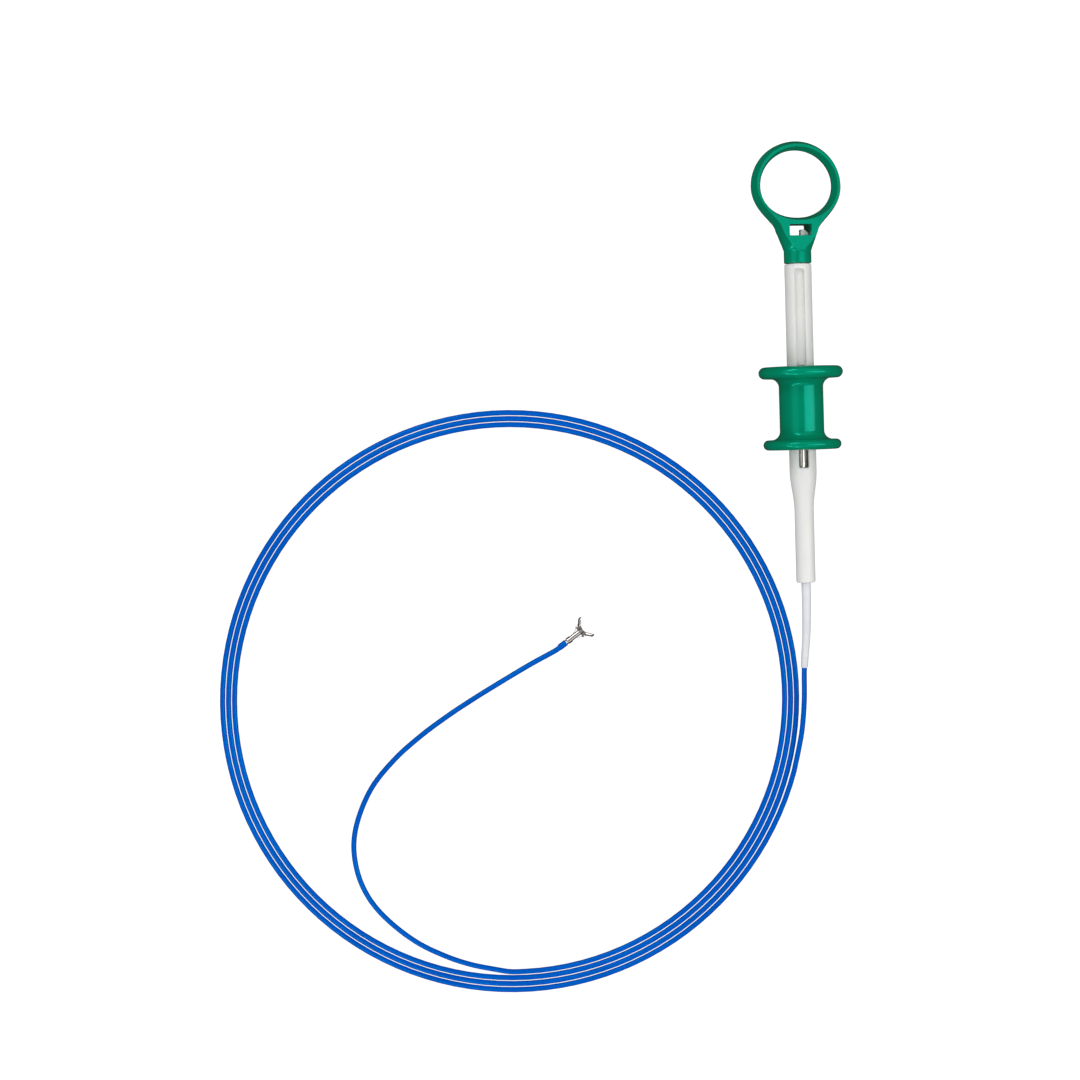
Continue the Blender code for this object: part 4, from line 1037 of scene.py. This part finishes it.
# %% [markdown]
# ## Finishes
# Seven finishes cover the instrument: gloss green and satin white mouldings, soft white tubing, blue
# sheath coating, brushed and drawn steel, and turned brass inside. None is a single flat colour.
# Mouldings get a faint flow mottle and a fine orange-peel bump, white plastic a little light that
# goes into it, and steel the long scratches of drawing and milling, stretched along its own axis.
# The gloss of green and blue is tinted, so that bright lines on them keep their colour.

# %% Node helpers
def new_finish(name, colour, roughness, metallic=0.0):
    finish = bpy.data.materials.new(name)
    finish.use_nodes = True
    shader = finish.node_tree.nodes["Principled BSDF"]
    shader.inputs["Base Color"].default_value = (*colour, 1.0)
    shader.inputs["Roughness"].default_value = roughness
    shader.inputs["Metallic"].default_value = metallic
    return finish, shader


def grain(finish, scale, stretch=(1.0, 1.0, 1.0), detail=3.0):
    """Noise in the piece's own coordinates, stretched along its axis."""
    nodes = finish.node_tree.nodes
    links = finish.node_tree.links
    place = nodes.new("ShaderNodeTexCoord")
    mapping = nodes.new("ShaderNodeMapping")
    mapping.inputs["Scale"].default_value = stretch
    noise = nodes.new("ShaderNodeTexNoise")
    noise.inputs["Scale"].default_value = scale
    noise.inputs["Detail"].default_value = detail
    links.new(place.outputs["Object"], mapping.inputs["Vector"])
    links.new(mapping.outputs["Vector"], noise.inputs["Vector"])
    return noise.outputs["Fac"]


def vary_colour(finish, shader, fac, low, high):
    ramp = finish.node_tree.nodes.new("ShaderNodeValToRGB")
    ramp.color_ramp.elements[0].position = 0.3
    ramp.color_ramp.elements[1].position = 0.7
    ramp.color_ramp.elements[0].color = (*low, 1.0)
    ramp.color_ramp.elements[1].color = (*high, 1.0)
    finish.node_tree.links.new(fac, ramp.inputs["Fac"])
    finish.node_tree.links.new(ramp.outputs["Color"], shader.inputs["Base Color"])


def vary_roughness(finish, shader, fac, low, high):
    spread = finish.node_tree.nodes.new("ShaderNodeMapRange")
    spread.inputs["To Min"].default_value = low
    spread.inputs["To Max"].default_value = high
    finish.node_tree.links.new(fac, spread.inputs["Value"])
    finish.node_tree.links.new(spread.outputs["Result"], shader.inputs["Roughness"])


def add_bump(finish, shader, fac, height, strength):
    bump = finish.node_tree.nodes.new("ShaderNodeBump")
    bump.inputs["Strength"].default_value = strength
    bump.inputs["Distance"].default_value = height
    finish.node_tree.links.new(fac, bump.inputs["Height"])
    finish.node_tree.links.new(bump.outputs["Normal"], shader.inputs["Normal"])


print("finishes so far:", len(bpy.data.materials))

# %% Moulded plastics
def green_plastic():
    finish, shader = new_finish("gloss_green_moulding", (0.0, 0.235, 0.12), 0.16)
    vary_colour(finish, shader, grain(finish, 90.0), (0.0, 0.222, 0.113), (0.0, 0.248, 0.127))
    vary_roughness(finish, shader, grain(finish, 900.0), 0.15, 0.22)
    add_bump(finish, shader, grain(finish, 650.0, detail=2.0), 0.00001, 0.1)
    shader.inputs["Specular Tint"].default_value = (0.0, 1.0, 0.8, 1.0)
    shader.inputs["Specular IOR Level"].default_value = 0.7
    shader.inputs["Coat Weight"].default_value = 0.05
    shader.inputs["Coat Roughness"].default_value = 0.04
    return finish


def let_light_in(shader, weight, depth):
    """Light goes a little way into white plastic, and its gloss is weaker for it."""
    shader.inputs["Subsurface Weight"].default_value = weight
    shader.inputs["Subsurface Radius"].default_value = depth
    shader.inputs["Subsurface Scale"].default_value = 1.0
    shader.inputs["Specular IOR Level"].default_value = 0.35


def white_plastic():
    finish, shader = new_finish("satin_white_moulding", (0.82, 0.82, 0.8), 0.4)
    vary_colour(finish, shader, grain(finish, 70.0), (0.8, 0.8, 0.775), (0.84, 0.84, 0.82))
    vary_roughness(finish, shader, grain(finish, 800.0), 0.34, 0.46)
    add_bump(finish, shader, grain(finish, 700.0, (1.0, 0.35, 1.0), 2.0), 0.00001, 0.15)
    let_light_in(shader, 0.6, (0.0016, 0.0016, 0.0013))
    return finish


def sleeve_plastic():
    finish, shader = new_finish("soft_white_tubing", (0.76, 0.78, 0.82), 0.45)
    vary_colour(finish, shader, grain(finish, 160.0), (0.74, 0.76, 0.8), (0.79, 0.805, 0.84))
    vary_roughness(finish, shader, grain(finish, 700.0), 0.38, 0.52)
    add_bump(finish, shader, grain(finish, 500.0, detail=2.0), 0.00001, 0.15)
    let_light_in(shader, 0.3, (0.001, 0.001, 0.0012))
    return finish


def blue_coating():
    finish, shader = new_finish("blue_sheath_coating", (0.0, 0.086, 0.54), 0.25)
    vary_colour(finish, shader, grain(finish, 60.0), (0.0, 0.08, 0.51), (0.0, 0.094, 0.57))
    vary_roughness(finish, shader, grain(finish, 900.0), 0.2, 0.3)
    add_bump(finish, shader, grain(finish, 1200.0, detail=1.0), 0.000005, 0.2)
    shader.inputs["Specular Tint"].default_value = (0.0, 0.6, 1.0, 1.0)
    shader.inputs["Specular IOR Level"].default_value = 0.7
    return finish


green = green_plastic()
white = white_plastic()
tubing = sleeve_plastic()
blue = blue_coating()
print("plastics:", ", ".join(finish.name for finish in (green, white, tubing, blue)))

# %% Metals
def brushed_steel():
    finish, shader = new_finish("brushed_steel", (0.62, 0.585, 0.56), 0.2, 1.0)
    milling = grain(finish, 2500.0, (1.0, 1.0, 0.04))
    vary_colour(finish, shader, milling, (0.5, 0.47, 0.45), (0.74, 0.7, 0.67))
    vary_roughness(finish, shader, grain(finish, 4000.0, (1.0, 1.0, 0.05)), 0.12, 0.28)
    add_bump(finish, shader, grain(finish, 6000.0, (1.0, 1.0, 0.03)), 0.000004, 0.35)
    return finish


def bright_steel():
    finish, shader = new_finish("bright_drawn_steel", (0.78, 0.75, 0.72), 0.16, 1.0)
    vary_colour(finish, shader, grain(finish, 900.0, (1.0, 1.0, 0.03)), (0.7, 0.67, 0.64), (0.86, 0.83, 0.8))
    vary_roughness(finish, shader, grain(finish, 1500.0, (1.0, 1.0, 0.03)), 0.1, 0.22)
    return finish


def turned_brass():
    finish, shader = new_finish("turned_brass", (0.6, 0.43, 0.18), 0.3, 1.0)
    vary_colour(finish, shader, grain(finish, 700.0, (0.1, 0.1, 1.0)), (0.52, 0.37, 0.15), (0.68, 0.5, 0.22))
    vary_roughness(finish, shader, grain(finish, 900.0), 0.22, 0.4)
    return finish


steel = brushed_steel()
drawn = bright_steel()
brass = turned_brass()
print("metals:", ", ".join(finish.name for finish in (steel, drawn, brass)))

# %% Give every piece its finish
def coat(finish, *targets):
    for target in targets:
        target.data.materials.clear()
        target.data.materials.append(finish)


coat(green, ring, spool)
coat(white, shaft, latch)
coat(tubing, sleeve)
coat(blue, sheath, tip_collar)
coat(drawn, operating_tube, winding, pivot_pin, bpy.data.objects["steel_right_link"],
     bpy.data.objects["steel_left_link"])
coat(steel, clevis, pull_block, bpy.data.objects["steel_right_jaw"], bpy.data.objects["steel_left_jaw"])

INNER_FINISHES = {"slider_key": brass, "sheath_gland": brass, "clamp_screw": drawn,
                  "pull_wire": drawn, "tip_wire": drawn}
for node, finish in INNER_FINISHES.items():
    bpy.data.objects[node].material_slots[0].material = finish
print("finishes:", len(bpy.data.materials))

# %% [markdown]
# ## Studio
# The picture is a bright pack shot on white: one long soft light high on the right, a thin strip low
# on the left and a small light behind that pick out the fillets, and an even glow all round. The
# table glows by itself, so that it stays whiter than the white shaft. Gloss and steel see a darker
# sky, bright only in a ring high overhead, as if black cards stood round the table. That gives the
# mouldings dark edges and the steel its dark and bright stripes.

# %% Table
TABLE_SIZE = 4.0
TABLE_DROP = 0.2 * MM
TABLE_GLOW = 0.92

table_shape = bmesh.new()
bmesh.ops.create_grid(table_shape, x_segments=1, y_segments=1, size=TABLE_SIZE / 2)
table = solid_from("table", table_shape)
table.location.z = -TABLE_DROP
table.visible_diffuse = False
table.visible_glossy = False
table_finish, table_shader = new_finish("white_table", (0.25, 0.25, 0.25), 0.9)
table_shader.inputs["Emission Color"].default_value = (1.0, 1.0, 1.0, 1.0)
table_shader.inputs["Emission Strength"].default_value = TABLE_GLOW
coat(table_finish, table)
print("table:", TABLE_SIZE, "m square")


# %% Lights
def softbox(name, place, target, size, power):
    lamp = bpy.data.lights.new(name, "AREA")
    lamp.shape = "RECTANGLE"
    lamp.size = size[0]
    lamp.size_y = size[1]
    lamp.energy = power
    holder = new_object(name, lamp)
    holder.location = place
    aim = Vector(target) - Vector(place)
    holder.rotation_euler = aim.to_track_quat("-Z", "Y").to_euler()


softbox("key_light", (0.66, -0.12, 0.85), (0.0, -0.06, 0.0), (0.34, 1.1), 3.7)
softbox("strip_light", (-0.5, -0.7, 0.7), (0.0, -0.05, 0.0), (0.9, 0.07), 2.7)
softbox("back_light", (-0.42, 0.66, 0.75), (0.03, 0.0, 0.0), (0.5, 0.2), 2.2)
print("lights: a wide key, a thin strip and a back light")

# %% Sky
FILL_SKY = ((0.0, 0.28), (0.5, 0.37), (0.75, 0.52), (1.0, 0.6))
GLOSS_SKY = ((0.0, 0.02), (0.5, 0.04), (0.72, 0.12), (0.83, 1.0), (0.94, 1.0), (0.98, 0.3), (1.0, 0.16))
world = bpy.data.worlds.new("studio")
world.use_nodes = True
nodes = world.node_tree.nodes
links = world.node_tree.links
direction = nodes.new("ShaderNodeTexCoord")
split = nodes.new("ShaderNodeSeparateXYZ")
height = nodes.new("ShaderNodeMapRange")
height.inputs["From Min"].default_value = -1.0
links.new(direction.outputs["Generated"], split.inputs["Vector"])
links.new(split.outputs["Z"], height.inputs["Value"])


def glow(stops):
    """Brightness by height, from straight down to straight up."""
    fade = nodes.new("ShaderNodeValToRGB")
    for _ in stops[2:]:
        fade.color_ramp.elements.new(0.5)
    for stop, (position, bright) in zip(fade.color_ramp.elements, stops):
        stop.position = position
        stop.color = (bright, bright, bright, 1.0)
    links.new(height.outputs["Result"], fade.inputs["Fac"])
    return fade.outputs["Color"]


ray = nodes.new("ShaderNodeLightPath")
choice = nodes.new("ShaderNodeMix")
choice.data_type = "RGBA"
links.new(ray.outputs["Is Glossy Ray"], choice.inputs["Factor"])
links.new(glow(FILL_SKY), choice.inputs["A"])
links.new(glow(GLOSS_SKY), choice.inputs["B"])
links.new(choice.outputs["Result"], nodes["Background"].inputs["Color"])
bpy.context.scene.world = world
bpy.context.scene.view_settings.view_transform = "Standard"
bpy.context.scene.view_settings.look = "None"
print("sky: even for the fill, ringed for the gloss")
